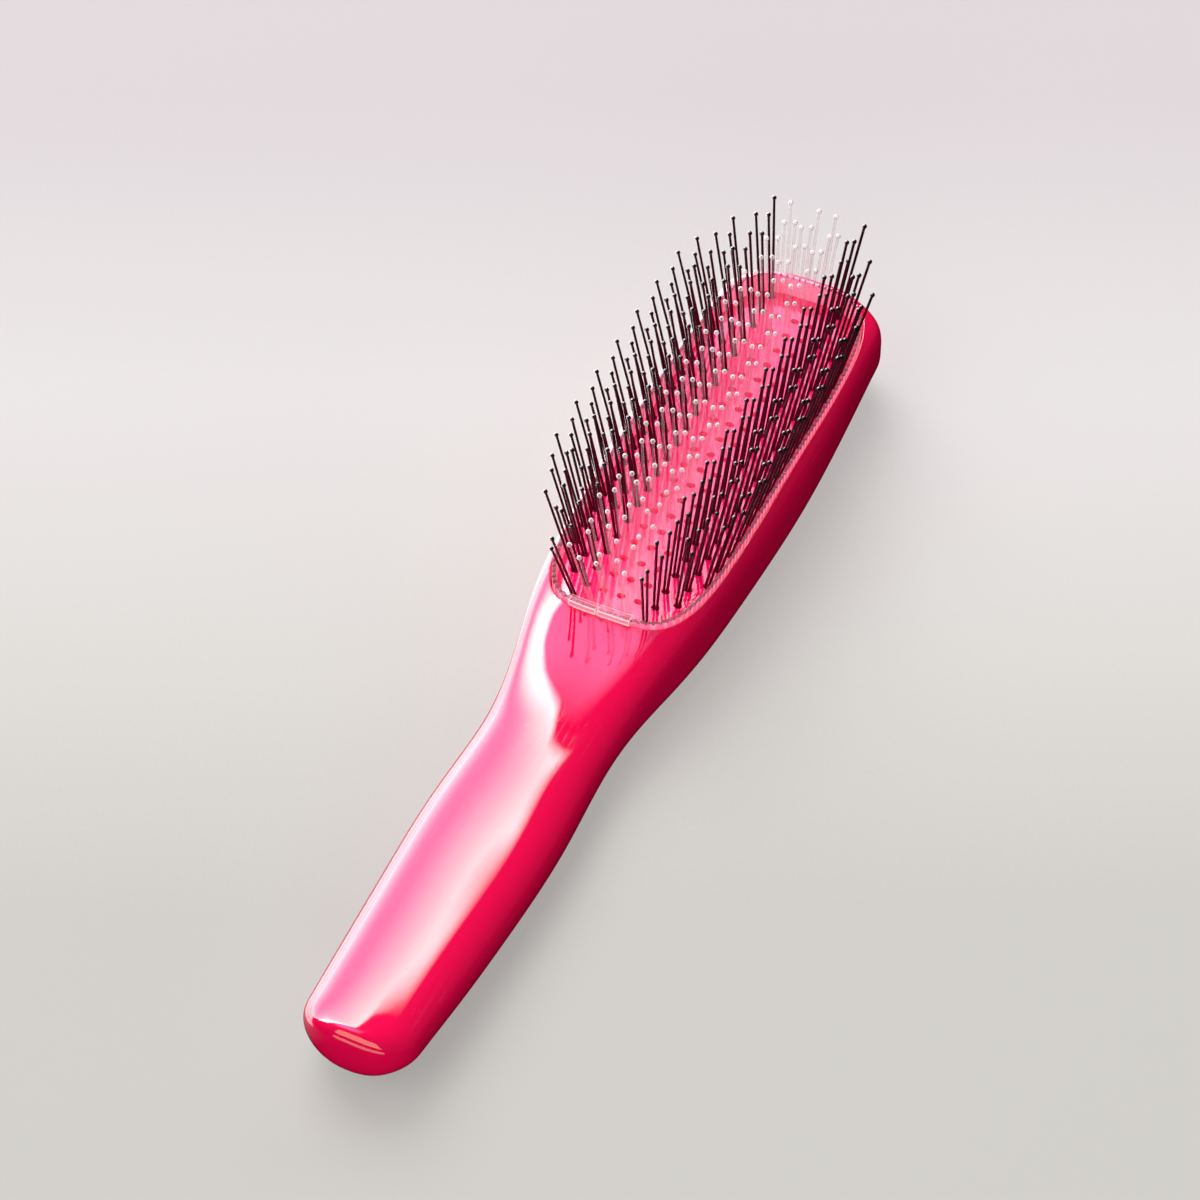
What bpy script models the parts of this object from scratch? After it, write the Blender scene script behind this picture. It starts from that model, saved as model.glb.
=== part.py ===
"""Hair grooming brush: a slim two-shell body with ball-tipped pins in a sunk plate.

The brush lies on its back on z = 0. +X runs along it towards the head's tip, +Z runs up
through the pins, and Y runs across. Places along the brush are measured from the
handle's end, and an empty moves them so that the origin is on the head's flat back.
All sizes are in metres.
"""

import math

import bmesh
import bpy
from mathutils import Vector
from mathutils.geometry import delaunay_2d_cdt

# Body
BRUSH_LENGTH = 0.219
SHOULDER_LENGTH = 0.02724
HANDLE_WIDTH = 0.0294
HANDLE_HEIGHT = 0.0154
HEAD_WIDTH = 0.0412
HEAD_HEIGHT = 0.0212
END_ROUNDING = 0.0086
TIP_ROUNDING = 0.0082
END_EDGE = 0.0025
TIP_EDGE = 0.0011
FOOT_SINK = 0.0005
SHELL_WALL = 0.0022
SEAM_HEIGHT = 0.0080
CLEARANCE = 0.0003
OVERRUN = 0.0040

# Opening in the head, and what sits in it
OPENING_LENGTH = 0.1042
OPENING_LIP = 0.00215
SIDE_LIP = 0.0028
COLLAR_WALL = 0.0016
PLATE_TOP = 0.0168
PLATE_THICKNESS = 0.0026
CARRIER_THICKNESS = 0.0016
STRIP_THICKNESS = 0.0007
STRIP_STAND = 0.0011

# Pins
PIN_DIAMETER = 0.0006
BALL_DIAMETER = 0.00108
LONG_LEG = 0.0250
SHORT_LEG = 0.0205
LEG_SPACING = 0.00074
ROW_PITCH = 0.00485
COLUMN_PITCH = 0.0038
PIN_EDGE_MARGIN = 0.0012
FAN_REACH = 0.0270

# Anchor wires on the plate's back
WIRE_DIAMETER = 0.0004
WIRE_GROOVE_DEPTH = 0.0012

# Posts and pegs
PEG_RADIUS = 0.0014
PEG_LENGTH = 0.0030
SOCKET_WALL = 0.0013
POST_RADIUS = 0.0022
STUD_RADIUS = 0.0011

# Sleeves over the joint in the edge strip
SLEEVE_WALL = 0.0005
SLEEVE_DROP = 0.0008
SHORT_SLEEVE_LENGTH = 0.0062
LONG_SLEEVE_LENGTH = 0.0072

# Stations along the body: place as a share of the handle's or the head's length, then
# the width, the top and the underside as shares of its own width and height
HANDLE_STATION_SHARES = (
    (0.000, 0.780, 1.080, 0.300),
    (0.205, 0.864, 1.045, 0.143),
    (0.462, 0.940, 1.000, 0.026),
    (0.744, 1.000, 0.980, 0.000),
    (1.000, 0.898, 0.955, 0.030),
)
HEAD_STATION_SHARES = (
    (0.115, 0.694, 0.769, 0.052),
    (0.246, 0.883, 0.967, 0.000),
    (0.426, 0.961, 0.990, 0.000),
    (0.607, 1.000, 1.000, 0.000),
    (0.803, 0.951, 0.986, 0.047),
    (1.000, 0.883, 0.967, 0.151),
)
REST_SHARE = 0.426
NECK_SHARE = 0.213
HANDLE_PEG_SHARES = (0.256, 0.615, 0.949)
SHOULDER_PEG_SHARE = 0.68
HEAD_POST_SHARES = (-0.76, 0.0, 0.76)
HEAD_POST_SIDE_SHARE = 0.50
END_RING_SHARES = (0.004, 0.035, 0.12, 0.26, 0.45, 0.70)
SLEEVE_SPLIT_SHARE = 0.04

# Curves and counts
HANDLE_POWER = 2.2
HEAD_TOP_POWER = 4.4
HEAD_BACK_POWER = 2.9
PLAN_POWER = 2.4
OPENING_POWER = 4.36
SECTION_SIDES = 28
BODY_RINGS = 20
OPENING_SIDES = 52
ROUND_SIDES = 12
PIN_SIDES = 3
SIDE_COLUMNS = 4
CLEAR_COLUMNS = 1
STAGGERED_COLUMN = 3
SIDE_LEAN = math.radians(13.0)
NEAR_LEAN = math.radians(19.0)
FAR_LEAN = math.radians(13.0)
LEG_SPLAY = math.radians(0.7)

# Sizes that follow from the ones above
HEAD_LENGTH = SHOULDER_LENGTH + OPENING_LENGTH + OPENING_LIP
HANDLE_LENGTH = BRUSH_LENGTH - HEAD_LENGTH
REST_PLACE = HANDLE_LENGTH + REST_SHARE * HEAD_LENGTH
OPENING_END = BRUSH_LENGTH - OPENING_LIP
OPENING_MIDDLE = OPENING_END - OPENING_LENGTH / 2
OPENING_WIDTH = HEAD_WIDTH - 2 * SIDE_LIP
STRIP_INSET = CLEARANCE
PLATE_INSET = STRIP_INSET + STRIP_THICKNESS + CLEARANCE
PLATE_BOTTOM = PLATE_TOP - PLATE_THICKNESS
CARRIER_TOP = PLATE_BOTTOM - CLEARANCE
CARRIER_BOTTOM = CARRIER_TOP - CARRIER_THICKNESS
POST_TOP = CARRIER_BOTTOM - CLEARANCE
COLUMN_SIDES = ("right", "left")
COLUMN_NAMES = {2: "inner", 3: "middle", 4: "outer"}

SHELL_PINK = (0.86, 0.012, 0.125, 1.0)
CARRIER_PINK = (0.80, 0.06, 0.18, 1.0)
BLACK_NYLON = (0.012, 0.008, 0.010, 1.0)
CLEAR_NYLON = (0.92, 0.90, 0.90, 1.0)
CLEAR_VINYL = (0.93, 0.80, 0.82, 1.0)
WIRE_STEEL = (0.62, 0.62, 0.63, 1.0)


def smooth_value(places, values, place):
    """Value at a place on the smooth curve through the stations, with no overshoot."""
    place = min(max(place, places[0]), places[-1])
    spans = [end - start for start, end in zip(places, places[1:])]
    slopes = [(end - start) / span for start, end, span in zip(values, values[1:], spans)]
    tangents = [0.0]
    for before, after in zip(slopes, slopes[1:]):
        level = before * after <= 0.0
        tangents.append(0.0 if level else 2 * before * after / (before + after))
    tangents.append(0.0)
    index = 0
    while index < len(spans) - 1 and place > places[index + 1]:
        index += 1
    t = (place - places[index]) / spans[index]
    rise = (3 - 2 * t) * t * t
    leave = (1 - t) * (1 - t) * t * spans[index] * tangents[index]
    arrive = (t - 1) * t * t * spans[index] * tangents[index + 1]
    return values[index] * (1 - rise) + values[index + 1] * rise + leave + arrive


def body_stations():
    """Places, half widths, tops and undersides of the body's stations."""
    rows = []
    for place, width, top, under in HANDLE_STATION_SHARES:
        sizes = (width * HANDLE_WIDTH / 2, top * HANDLE_HEIGHT, under * HANDLE_HEIGHT)
        rows.append((place * HANDLE_LENGTH,) + sizes)
    for place, width, top, under in HEAD_STATION_SHARES:
        sizes = (width * HEAD_WIDTH / 2, top * HEAD_HEIGHT, under * HEAD_HEIGHT)
        rows.append((HANDLE_LENGTH + place * HEAD_LENGTH,) + sizes)
    return list(zip(*rows))


PLACES, HALF_WIDTHS, TOPS, UNDERSIDES = body_stations()


def half_width(place):
    return smooth_value(PLACES, HALF_WIDTHS, place)


def top_height(place):
    return smooth_value(PLACES, TOPS, place)


def under_height(place):
    return smooth_value(PLACES, UNDERSIDES, place)


def blend(start, end, place):
    """The section's power at a place: the handle is round and the head is squarer."""
    t = min(max((place - HANDLE_LENGTH) / (NECK_SHARE * HEAD_LENGTH), 0.0), 1.0)
    return start + (end - start) * t * t * (3 - 2 * t)


def rounding(depth, reach, power):
    """Share of the full size that is left at a depth inside a rounded end."""
    if depth >= reach:
        return 1.0
    return (1 - (1 - depth / reach) ** power) ** (1 / power)


def end_shares(place, inset):
    """Shares of the full width and height near the two rounded ends."""
    least = END_RING_SHARES[0]
    near = place - inset
    far = BRUSH_LENGTH - inset - place
    wide = 1.0
    tall = 1.0
    for depth, reach, edge in ((near, END_ROUNDING, END_EDGE), (far, TIP_ROUNDING, TIP_EDGE)):
        depth = max(depth, least * reach)
        wide = min(wide, rounding(depth, reach - inset, PLAN_POWER))
        tall = min(tall, rounding(depth, edge, PLAN_POWER))
    return wide, tall


def section_ring(place, inset):
    """One ring of points round the body, an inset inside its outer face."""
    wide, tall = end_shares(place, inset)
    half = (half_width(place) - inset) * wide
    top = top_height(place) - inset
    under = under_height(place) - FOOT_SINK + inset
    middle = (top + under) / 2
    rise = (top - under) / 2 * tall
    ring = []
    for side in range(SECTION_SIDES):
        angle = 2 * math.pi * (side + 0.5) / SECTION_SIDES
        across = math.cos(angle)
        up = math.sin(angle)
        power = blend(HANDLE_POWER, HEAD_TOP_POWER if up > 0 else HEAD_BACK_POWER, place)
        y = half * math.copysign(abs(across) ** (2 / power), across)
        z = middle + rise * math.copysign(abs(up) ** (2 / power), up)
        ring.append(Vector((place, y, max(z, inset))))
    return ring


def surface_height(place, across):
    """Height of the body's upper face at a place and a distance from its middle."""
    top = top_height(place)
    under = under_height(place) - FOOT_SINK
    power = blend(HANDLE_POWER, HEAD_TOP_POWER, place)
    out = min(abs(across) / half_width(place), 1.0)
    return (top + under) / 2 + (top - under) / 2 * (1 - out ** power) ** (1 / power)


def body_places(inset):
    """Where the rings stand: evenly along the body and closer at its rounded ends."""
    first = [inset + share * END_ROUNDING for share in END_RING_SHARES[1:]]
    last = [BRUSH_LENGTH - inset - share * TIP_ROUNDING for share in END_RING_SHARES[1:]]
    start = inset + END_ROUNDING
    end = BRUSH_LENGTH - inset - TIP_ROUNDING
    steps = [start + (end - start) * step / BODY_RINGS for step in range(BODY_RINGS + 1)]
    return [inset] + first + steps + last[::-1] + [BRUSH_LENGTH - inset]


def opening_outline(inset, sides=OPENING_SIDES):
    """Outline of the head's opening, drawn in by an inset, as points in the plan."""
    points = []
    for side in range(sides):
        angle = 2 * math.pi * side / sides
        along = math.cos(angle)
        across = math.sin(angle)
        power = 2 / OPENING_POWER
        x = (OPENING_LENGTH / 2 - inset) * math.copysign(abs(along) ** power, along)
        y = (OPENING_WIDTH / 2 - inset) * math.copysign(abs(across) ** power, across)
        points.append((OPENING_MIDDLE + x, y))
    return points


def opening_half_width(place, inset):
    """Half width of the opening at a place, or zero past its ends."""
    out = abs(place - OPENING_MIDDLE) / (OPENING_LENGTH / 2 - inset)
    if out >= 1.0:
        return 0.0
    return (OPENING_WIDTH / 2 - inset) * (1 - out ** OPENING_POWER) ** (1 / OPENING_POWER)


def finish(material_name, colour, roughness, metallic=0.0, alpha=1.0):
    material = bpy.data.materials.new(material_name)
    material.use_nodes = True
    shader = material.node_tree.nodes["Principled BSDF"]
    shader.inputs["Base Color"].default_value = colour
    shader.inputs["Roughness"].default_value = roughness
    shader.inputs["Metallic"].default_value = metallic
    shader.inputs["Alpha"].default_value = alpha
    material.diffuse_color = colour
    return material


def add_object(name, work, material=None, smooth_angle=None):
    """Make a bmesh an object on the brush's frame, and free the bmesh."""
    bmesh.ops.recalc_face_normals(work, faces=work.faces)
    mesh = bpy.data.meshes.new(name)
    work.to_mesh(mesh)
    work.free()
    piece = bpy.data.objects.new(name, mesh)
    bpy.context.scene.collection.objects.link(piece)
    piece.parent = bpy.data.objects["brush_frame"]
    if material is not None:
        mesh.materials.append(material)
    if smooth_angle is not None:
        mesh.shade_smooth()
        mesh.set_sharp_from_angle(angle=smooth_angle)
    return piece


def guide(piece):
    """Mark an object as a cutter or a guide, which isn't a piece of the brush."""
    piece.hide_render = True
    piece.display_type = "WIRE"
    return piece


def boolean(piece, tool, operation):
    modifier = piece.modifiers.new(tool.name, "BOOLEAN")
    modifier.object = tool
    modifier.operation = operation
    modifier.solver = "EXACT"


def loft(rings):
    """A closed bmesh through rings of equally many points."""
    work = bmesh.new()
    loops = [[work.verts.new(point) for point in ring] for ring in rings]
    count = len(loops[0])
    for low, high in zip(loops, loops[1:]):
        for side in range(count):
            after = (side + 1) % count
            work.faces.new((low[side], low[after], high[after], high[side]))
    work.faces.new(loops[0][::-1])
    work.faces.new(loops[-1])
    return work


def prism(outline, low, high):
    rings = [[Vector((x, y, z)) for x, y in outline] for z in (low, high)]
    return loft(rings)


def block(low, high):
    corners = ((low[0], low[1]), (high[0], low[1]), (high[0], high[1]), (low[0], high[1]))
    return prism(corners, low[2], high[2])


def round_bar(x, y, radius, low, high):
    """Outline points and heights of an upright round bar, as a bmesh."""
    outline = []
    for side in range(ROUND_SIDES):
        angle = 2 * math.pi * side / ROUND_SIDES
        outline.append((x + radius * math.cos(angle), y + radius * math.sin(angle)))
    return prism(outline, low, high)


def gather(works):
    """Join several separate bmeshes in one."""
    whole = bmesh.new()
    for work in works:
        mesh = bpy.data.meshes.new("gathered")
        work.to_mesh(mesh)
        work.free()
        whole.from_mesh(mesh)
        bpy.data.meshes.remove(mesh)
    return whole


def body_loft(inset):
    return loft([section_ring(place, inset) for place in body_places(inset)])


def body_block(low, high):
    """A block wider and longer than the body, between two heights."""
    side = HEAD_WIDTH / 2 + OVERRUN
    return block((-OVERRUN, -side, low), (BRUSH_LENGTH + OVERRUN, side, high))


def peg_places():
    places = [share * HANDLE_LENGTH for share in HANDLE_PEG_SHARES]
    places.append(HANDLE_LENGTH + SHOULDER_PEG_SHARE * SHOULDER_LENGTH)
    return [(place, 0.0) for place in places]


def head_post_places():
    side = HEAD_POST_SIDE_SHARE * OPENING_WIDTH / 2
    places = []
    for share in HEAD_POST_SHARES:
        x = OPENING_MIDDLE + share * OPENING_LENGTH / 2
        places += [(x, -side), (x, side)]
    return places


def make_front_shell():
    """The handle's face and the collar round the opening, with pegs inside."""
    cavity = guide(add_object("front_cavity", body_loft(SHELL_WALL)))
    collar = prism(opening_outline(-COLLAR_WALL), POST_TOP, HEAD_HEIGHT + OVERRUN)
    boolean(cavity, guide(add_object("collar_block", collar)), "DIFFERENCE")
    shell = add_object("front_shell", body_loft(0.0), finish("front_shell", SHELL_PINK, 0.08))
    upper = body_block(SEAM_HEIGHT + CLEARANCE / 2, HEAD_HEIGHT + OVERRUN)
    boolean(shell, guide(add_object("upper_block", upper)), "INTERSECT")
    boolean(shell, cavity, "DIFFERENCE")
    opening = prism(opening_outline(0.0), POST_TOP, HEAD_HEIGHT + OVERRUN)
    boolean(shell, guide(add_object("opening_cutter", opening)), "DIFFERENCE")
    pegs = []
    for x, y in peg_places():
        roof = top_height(x) - SHELL_WALL / 2
        pegs.append(round_bar(x, y, PEG_RADIUS, SEAM_HEIGHT - PEG_LENGTH, roof))
    boolean(shell, guide(add_object("peg_guides", gather(pegs))), "UNION")
    shell.data.shade_smooth()
    return shell


def make_back_shell():
    """The handle's back and the closed back of the head, with sockets and posts."""
    cavity = guide(add_object("back_cavity", body_loft(SHELL_WALL)))
    shell = add_object("back_shell", body_loft(0.0), finish("back_shell", SHELL_PINK, 0.08))
    lower = body_block(-OVERRUN, SEAM_HEIGHT - CLEARANCE / 2)
    boolean(shell, guide(add_object("lower_block", lower)), "INTERSECT")
    boolean(shell, cavity, "DIFFERENCE")
    socket_radius = PEG_RADIUS + CLEARANCE
    socket_floor = SEAM_HEIGHT - PEG_LENGTH - CLEARANCE
    socket_top = SEAM_HEIGHT - CLEARANCE / 2
    bars = []
    sockets = []
    for x, y in peg_places():
        floor = under_height(x) + SHELL_WALL / 2
        bars.append(round_bar(x, y, socket_radius + SOCKET_WALL, floor, socket_top))
        sockets.append(round_bar(x, y, socket_radius, socket_floor, socket_top + OVERRUN))
    studs = []
    for x, y in head_post_places():
        floor = under_height(x) + SHELL_WALL / 2
        bars.append(round_bar(x, y, POST_RADIUS, floor, POST_TOP))
        studs.append(round_bar(x, y, STUD_RADIUS, floor + SHELL_WALL, CARRIER_TOP))
    boolean(shell, guide(add_object("post_guides", gather(bars))), "UNION")
    boolean(shell, guide(add_object("stud_guides", gather(studs))), "UNION")
    boolean(shell, guide(add_object("socket_cutters", gather(sockets))), "DIFFERENCE")
    shell.data.shade_smooth()
    return shell


def make_carrier():
    """The board under the pin plate, which stands on the back shell's posts."""
    board = prism(opening_outline(CLEARANCE), CARRIER_BOTTOM, CARRIER_TOP)
    carrier = add_object("plate_carrier", board, finish("plate_carrier", CARRIER_PINK, 0.45))
    holes = []
    for x, y in head_post_places():
        low = CARRIER_BOTTOM - OVERRUN
        holes.append(round_bar(x, y, STUD_RADIUS + CLEARANCE, low, CARRIER_TOP + OVERRUN))
    boolean(carrier, guide(add_object("stud_holes", gather(holes))), "DIFFERENCE")
    return carrier


def column_holes(column):
    """Plan places of the holes in one lengthwise column, from the handle's side on."""
    count = int(OPENING_LENGTH / ROW_PITCH) + 2
    shift = 0.5 if abs(column) == STAGGERED_COLUMN else 0.0
    inset = PLATE_INSET + PIN_EDGE_MARGIN
    holes = []
    for row in range(-count, count + 1):
        x = OPENING_MIDDLE + (row + shift) * ROW_PITCH
        room = opening_half_width(x, inset)
        y = column * COLUMN_PITCH
        if abs(column) == SIDE_COLUMNS:
            y = math.copysign(min(abs(y), room), column)
            inner = (SIDE_COLUMNS - 0.5) * COLUMN_PITCH + CLEARANCE
            if abs(y) < inner + (LEG_SPACING + PIN_DIAMETER) / 2:
                continue
        if 0.0 < room and abs(y) <= room:
            holes.append((x, y))
    return holes


def pin_lean(x, y):
    """Angles at which a pin leans along and across: the outer pins fan outwards."""
    start = OPENING_MIDDLE - OPENING_LENGTH / 2 + PLATE_INSET
    end = OPENING_MIDDLE + OPENING_LENGTH / 2 - PLATE_INSET
    near = max(1 - (x - start) / FAN_REACH, 0.0)
    far = max(1 - (end - x) / FAN_REACH, 0.0)
    along = FAR_LEAN * far * far - NEAR_LEAN * near * near
    across = SIDE_LEAN * y / (SIDE_COLUMNS * COLUMN_PITCH)
    return along, across


def leg_rings(x, y, along, across, length):
    """Rings of one leg from the plate's top to the middle of its ball, and its crown."""
    foot = Vector((x, y, PLATE_TOP))
    aim = Vector((math.tan(along), math.tan(across), 1.0)).normalized()
    ball = BALL_DIAMETER / 2
    thin = PIN_DIAMETER / 2
    rings = []
    for reach, radius in ((0.0, thin), (length - BALL_DIAMETER, thin), (length - ball, ball)):
        ring = []
        for side in range(PIN_SIDES):
            angle = 2 * math.pi * side / PIN_SIDES
            out = Vector((math.cos(angle), math.sin(angle), 0.0)) * radius
            ring.append(foot + aim * reach + out)
        rings.append(ring)
    return rings, foot + aim * length


def hole_legs(x, y, long_side):
    """The two legs of the folded pin in one hole, one of them longer."""
    along, across = pin_lean(x, y)
    legs = []
    for side in (-1, 1):
        length = LONG_LEG if side == long_side else SHORT_LEG
        lean = across + side * LEG_SPLAY
        legs.append(leg_rings(x, y + side * LEG_SPACING / 2, along, lean, length))
    return legs


def clipped(outline, limit, sign):
    """The part of a plan outline on one side of a line that runs along the brush."""
    points = []
    for (x0, y0), (x1, y1) in zip(outline, outline[1:] + outline[:1]):
        inside = sign * (y0 - limit) >= 0.0
        if inside:
            points.append((x0, y0))
        if inside != (sign * (y1 - limit) >= 0.0):
            share = (limit - y0) / (y1 - y0)
            points.append((x0 + (x1 - x0) * share, limit))
    return points


def slice_with_legs(outline, legs):
    """A slice of the plate as a bmesh, with the legs grown out of its top face."""
    flat = [Vector(point) for point in outline]
    for rings, crown in legs:
        flat += [point.to_2d() for point in rings[0]]
    edge_count = len(outline)
    feet = range(edge_count, len(flat), PIN_SIDES)
    loops = [list(range(foot, foot + PIN_SIDES)) for foot in feet]
    fill = delaunay_2d_cdt(flat, [], [list(range(edge_count))] + loops, 1, 0.0)
    spots, triangles, sources = fill[0], fill[2], fill[3]
    work = bmesh.new()
    tops = {}
    for spot, source in zip(spots, sources):
        tops[source[0]] = work.verts.new((spot.x, spot.y, PLATE_TOP))
    for triangle in triangles:
        corners = [sources[index][0] for index in triangle]
        owners = {(corner - edge_count) // PIN_SIDES for corner in corners}
        if len(owners) > 1 or min(corners) < edge_count:
            work.faces.new([tops[corner] for corner in corners])
    lower = [work.verts.new((x, y, PLATE_BOTTOM)) for x, y in outline]
    for side in range(edge_count):
        after = (side + 1) % edge_count
        work.faces.new((lower[side], lower[after], tops[after], tops[side]))
    work.faces.new(lower[::-1])
    for loop, (rings, crown) in zip(loops, legs):
        below = [tops[index] for index in loop]
        for ring in rings[1:]:
            above = [work.verts.new(point) for point in ring]
            for side in range(PIN_SIDES):
                after = (side + 1) % PIN_SIDES
                work.faces.new((below[side], below[after], above[after], above[side]))
            below = above
        peak = work.verts.new(crown)
        for side in range(PIN_SIDES):
            work.faces.new((below[side], below[(side + 1) % PIN_SIDES], peak))
    return work


def wire_path(column):
    """Plan places that the anchor wire of a column runs through."""
    holes = column_holes(column)
    if abs(column) < SIDE_COLUMNS:
        holes = [holes[0], holes[-1]]
    first = Vector(holes[0]) + (Vector(holes[0]) - Vector(holes[1])).normalized() * WIRE_DIAMETER
    last = Vector(holes[-1]) + (Vector(holes[-1]) - Vector(holes[-2])).normalized() * WIRE_DIAMETER
    return [first] + [Vector(hole) for hole in holes[1:-1]] + [last]


def swept_bar(path, half, low, high):
    """A bar of rectangular section that follows a path in the plan."""
    rings = []
    for index, point in enumerate(path):
        before = path[max(index - 1, 0)]
        after = path[min(index + 1, len(path) - 1)]
        ahead = (after - before).normalized()
        side = Vector((-ahead.y, ahead.x)) * half
        left = point + side
        right = point - side
        ring = ((left, low), (right, low), (right, high), (left, high))
        rings.append([Vector((spot.x, spot.y, z)) for spot, z in ring])
    return loft(rings)


def lengthened(path, reach):
    """The same path with its two ends moved outwards."""
    first = path[0] + (path[0] - path[1]).normalized() * reach
    last = path[-1] + (path[-1] - path[-2]).normalized() * reach
    return [first] + path[1:-1] + [last]


def column_name(column):
    side = COLUMN_SIDES[column > 0]
    if column == 0:
        return "clear", "middle"
    if abs(column) <= CLEAR_COLUMNS:
        return "clear", side
    return "black", side + "_" + COLUMN_NAMES[abs(column)]


def make_pin_column(column, materials):
    """One column of pins, fused to its lengthwise slice of the pin plate."""
    colour, place = column_name(column)
    name = colour + "_pins_" + place
    outline = opening_outline(PLATE_INSET)
    if column > -SIDE_COLUMNS:
        outline = clipped(outline, (column - 0.5) * COLUMN_PITCH + CLEARANCE / 2, 1)
    if column < SIDE_COLUMNS:
        outline = clipped(outline, (column + 0.5) * COLUMN_PITCH - CLEARANCE / 2, -1)
    legs = []
    for row, (x, y) in enumerate(column_holes(column)):
        legs += hole_legs(x, y, 1 if (row + column) % 2 else -1)
    piece = add_object(name, slice_with_legs(outline, legs), materials[colour])
    path = lengthened(wire_path(column), CLEARANCE)
    half = WIRE_DIAMETER / 2 + CLEARANCE
    groove = swept_bar(path, half, PLATE_BOTTOM - OVERRUN, PLATE_BOTTOM + WIRE_GROOVE_DEPTH)
    boolean(piece, guide(add_object(name + "_groove", groove)), "DIFFERENCE")
    return piece


def make_anchor_wire(column, material):
    """The wire that holds a column's folded pins in the groove on the plate's back."""
    colour, place = column_name(column)
    low = PLATE_BOTTOM + WIRE_GROOVE_DEPTH - CLEARANCE - WIRE_DIAMETER
    wire = swept_bar(wire_path(column), WIRE_DIAMETER / 2, low, low + WIRE_DIAMETER)
    return add_object("anchor_wire_" + colour + "_" + place, wire, material)


def make_edge_strip():
    """The clear strip that stands on the carrier's edge, a little above the rim."""
    outer = opening_outline(STRIP_INSET)
    inner = opening_outline(STRIP_INSET + STRIP_THICKNESS)
    rim = opening_outline(0.0)
    low = CARRIER_TOP + CLEARANCE
    work = bmesh.new()
    loops = []
    for outside, inside, edge in zip(outer, inner, rim):
        high = surface_height(*edge) + STRIP_STAND
        corners = ((outside, low), (outside, high), (inside, high), (inside, low))
        loops.append([work.verts.new((x, y, z)) for (x, y), z in corners])
    for here, there in zip(loops, loops[1:] + loops[:1]):
        for corner in range(4):
            after = (corner + 1) % 4
            work.faces.new((here[corner], here[after], there[after], there[corner]))
    return add_object("edge_strip", work, finish("edge_strip", CLEAR_VINYL, 0.12, alpha=0.5))


def make_sleeve(name, start, end, grow, material):
    """A clear channel over the strip at the handle side of the opening."""
    near = OPENING_MIDDLE - OPENING_LENGTH / 2
    rim = surface_height(near, 0.0)
    inner = near + STRIP_INSET + STRIP_THICKNESS + CLEARANCE
    outer = near - CLEARANCE
    wall = SLEEVE_WALL + grow
    roof = rim + STRIP_STAND + CLEARANCE
    foot = max(surface_height(near - CLEARANCE - wall, 0.0), rim - SLEEVE_DROP) + CLEARANCE
    floor = PLATE_TOP + CLEARANCE
    profile = (
        (outer - wall, foot),
        (outer - wall, roof + wall),
        (inner + SLEEVE_WALL, roof + wall),
        (inner + SLEEVE_WALL, floor),
        (inner, floor),
        (inner, roof),
        (outer, roof),
        (outer, foot),
    )
    rings = []
    for y in (start, end):
        bow = near - opening_near_place(y)
        rings.append([Vector((x - bow, y, z)) for x, z in profile])
    return add_object(name, loft(rings), material)


def opening_near_place(across):
    """Place of the opening's handle side at a distance from the middle."""
    out = abs(across) / (OPENING_WIDTH / 2)
    reach = (1 - out ** OPENING_POWER) ** (1 / OPENING_POWER)
    return OPENING_MIDDLE - OPENING_LENGTH / 2 * reach


def make_sleeves():
    material = finish("strip_sleeve", CLEAR_VINYL, 0.10, alpha=0.5)
    split = SLEEVE_SPLIT_SHARE * OPENING_WIDTH
    gap = CLEARANCE / 2
    make_sleeve("strip_sleeve_short", split + gap, split + SHORT_SLEEVE_LENGTH, 0.0, material)
    grow = SLEEVE_WALL / 2
    make_sleeve("strip_sleeve_long", split - LONG_SLEEVE_LENGTH, split - gap, grow, material)


def main():
    for old in list(bpy.data.objects):
        bpy.data.objects.remove(old, do_unlink=True)
    frame = bpy.data.objects.new("brush_frame", None)
    frame.location = (-REST_PLACE, 0.0, 0.0)
    bpy.context.scene.collection.objects.link(frame)
    make_front_shell()
    make_back_shell()
    make_carrier()
    pin_materials = {
        "black": finish("black_pins", BLACK_NYLON, 0.22),
        "clear": finish("clear_pins", CLEAR_NYLON, 0.08, alpha=0.4),
    }
    steel = finish("anchor_wire", WIRE_STEEL, 0.35, metallic=1.0)
    for column in range(-SIDE_COLUMNS, SIDE_COLUMNS + 1):
        make_pin_column(column, pin_materials)
        make_anchor_wire(column, steel)
    make_edge_strip()
    make_sleeves()


main()
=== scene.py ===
"""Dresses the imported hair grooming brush: glossy shells, pin plate, pins, strip and stage."""

import functools
import math

import bpy
from bpy.props import FloatProperty, FloatVectorProperty, IntProperty, PointerProperty
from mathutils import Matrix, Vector


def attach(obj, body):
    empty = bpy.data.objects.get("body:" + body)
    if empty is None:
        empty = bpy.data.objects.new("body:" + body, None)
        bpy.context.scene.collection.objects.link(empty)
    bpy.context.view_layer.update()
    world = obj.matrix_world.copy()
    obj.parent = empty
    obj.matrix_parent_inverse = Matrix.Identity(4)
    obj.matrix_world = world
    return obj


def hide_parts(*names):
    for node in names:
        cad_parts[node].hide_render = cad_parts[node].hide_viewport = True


bl_info = {
    "name": "Hair Grooming Brush",
    "version": (1, 0, 0),
    "blender": (4, 5, 0),
    "location": "3D View > Sidebar > Brush",
    "description": "Builds a pink grooming brush with ball-tipped pins in two nylons",
    "category": "Object",
}

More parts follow.
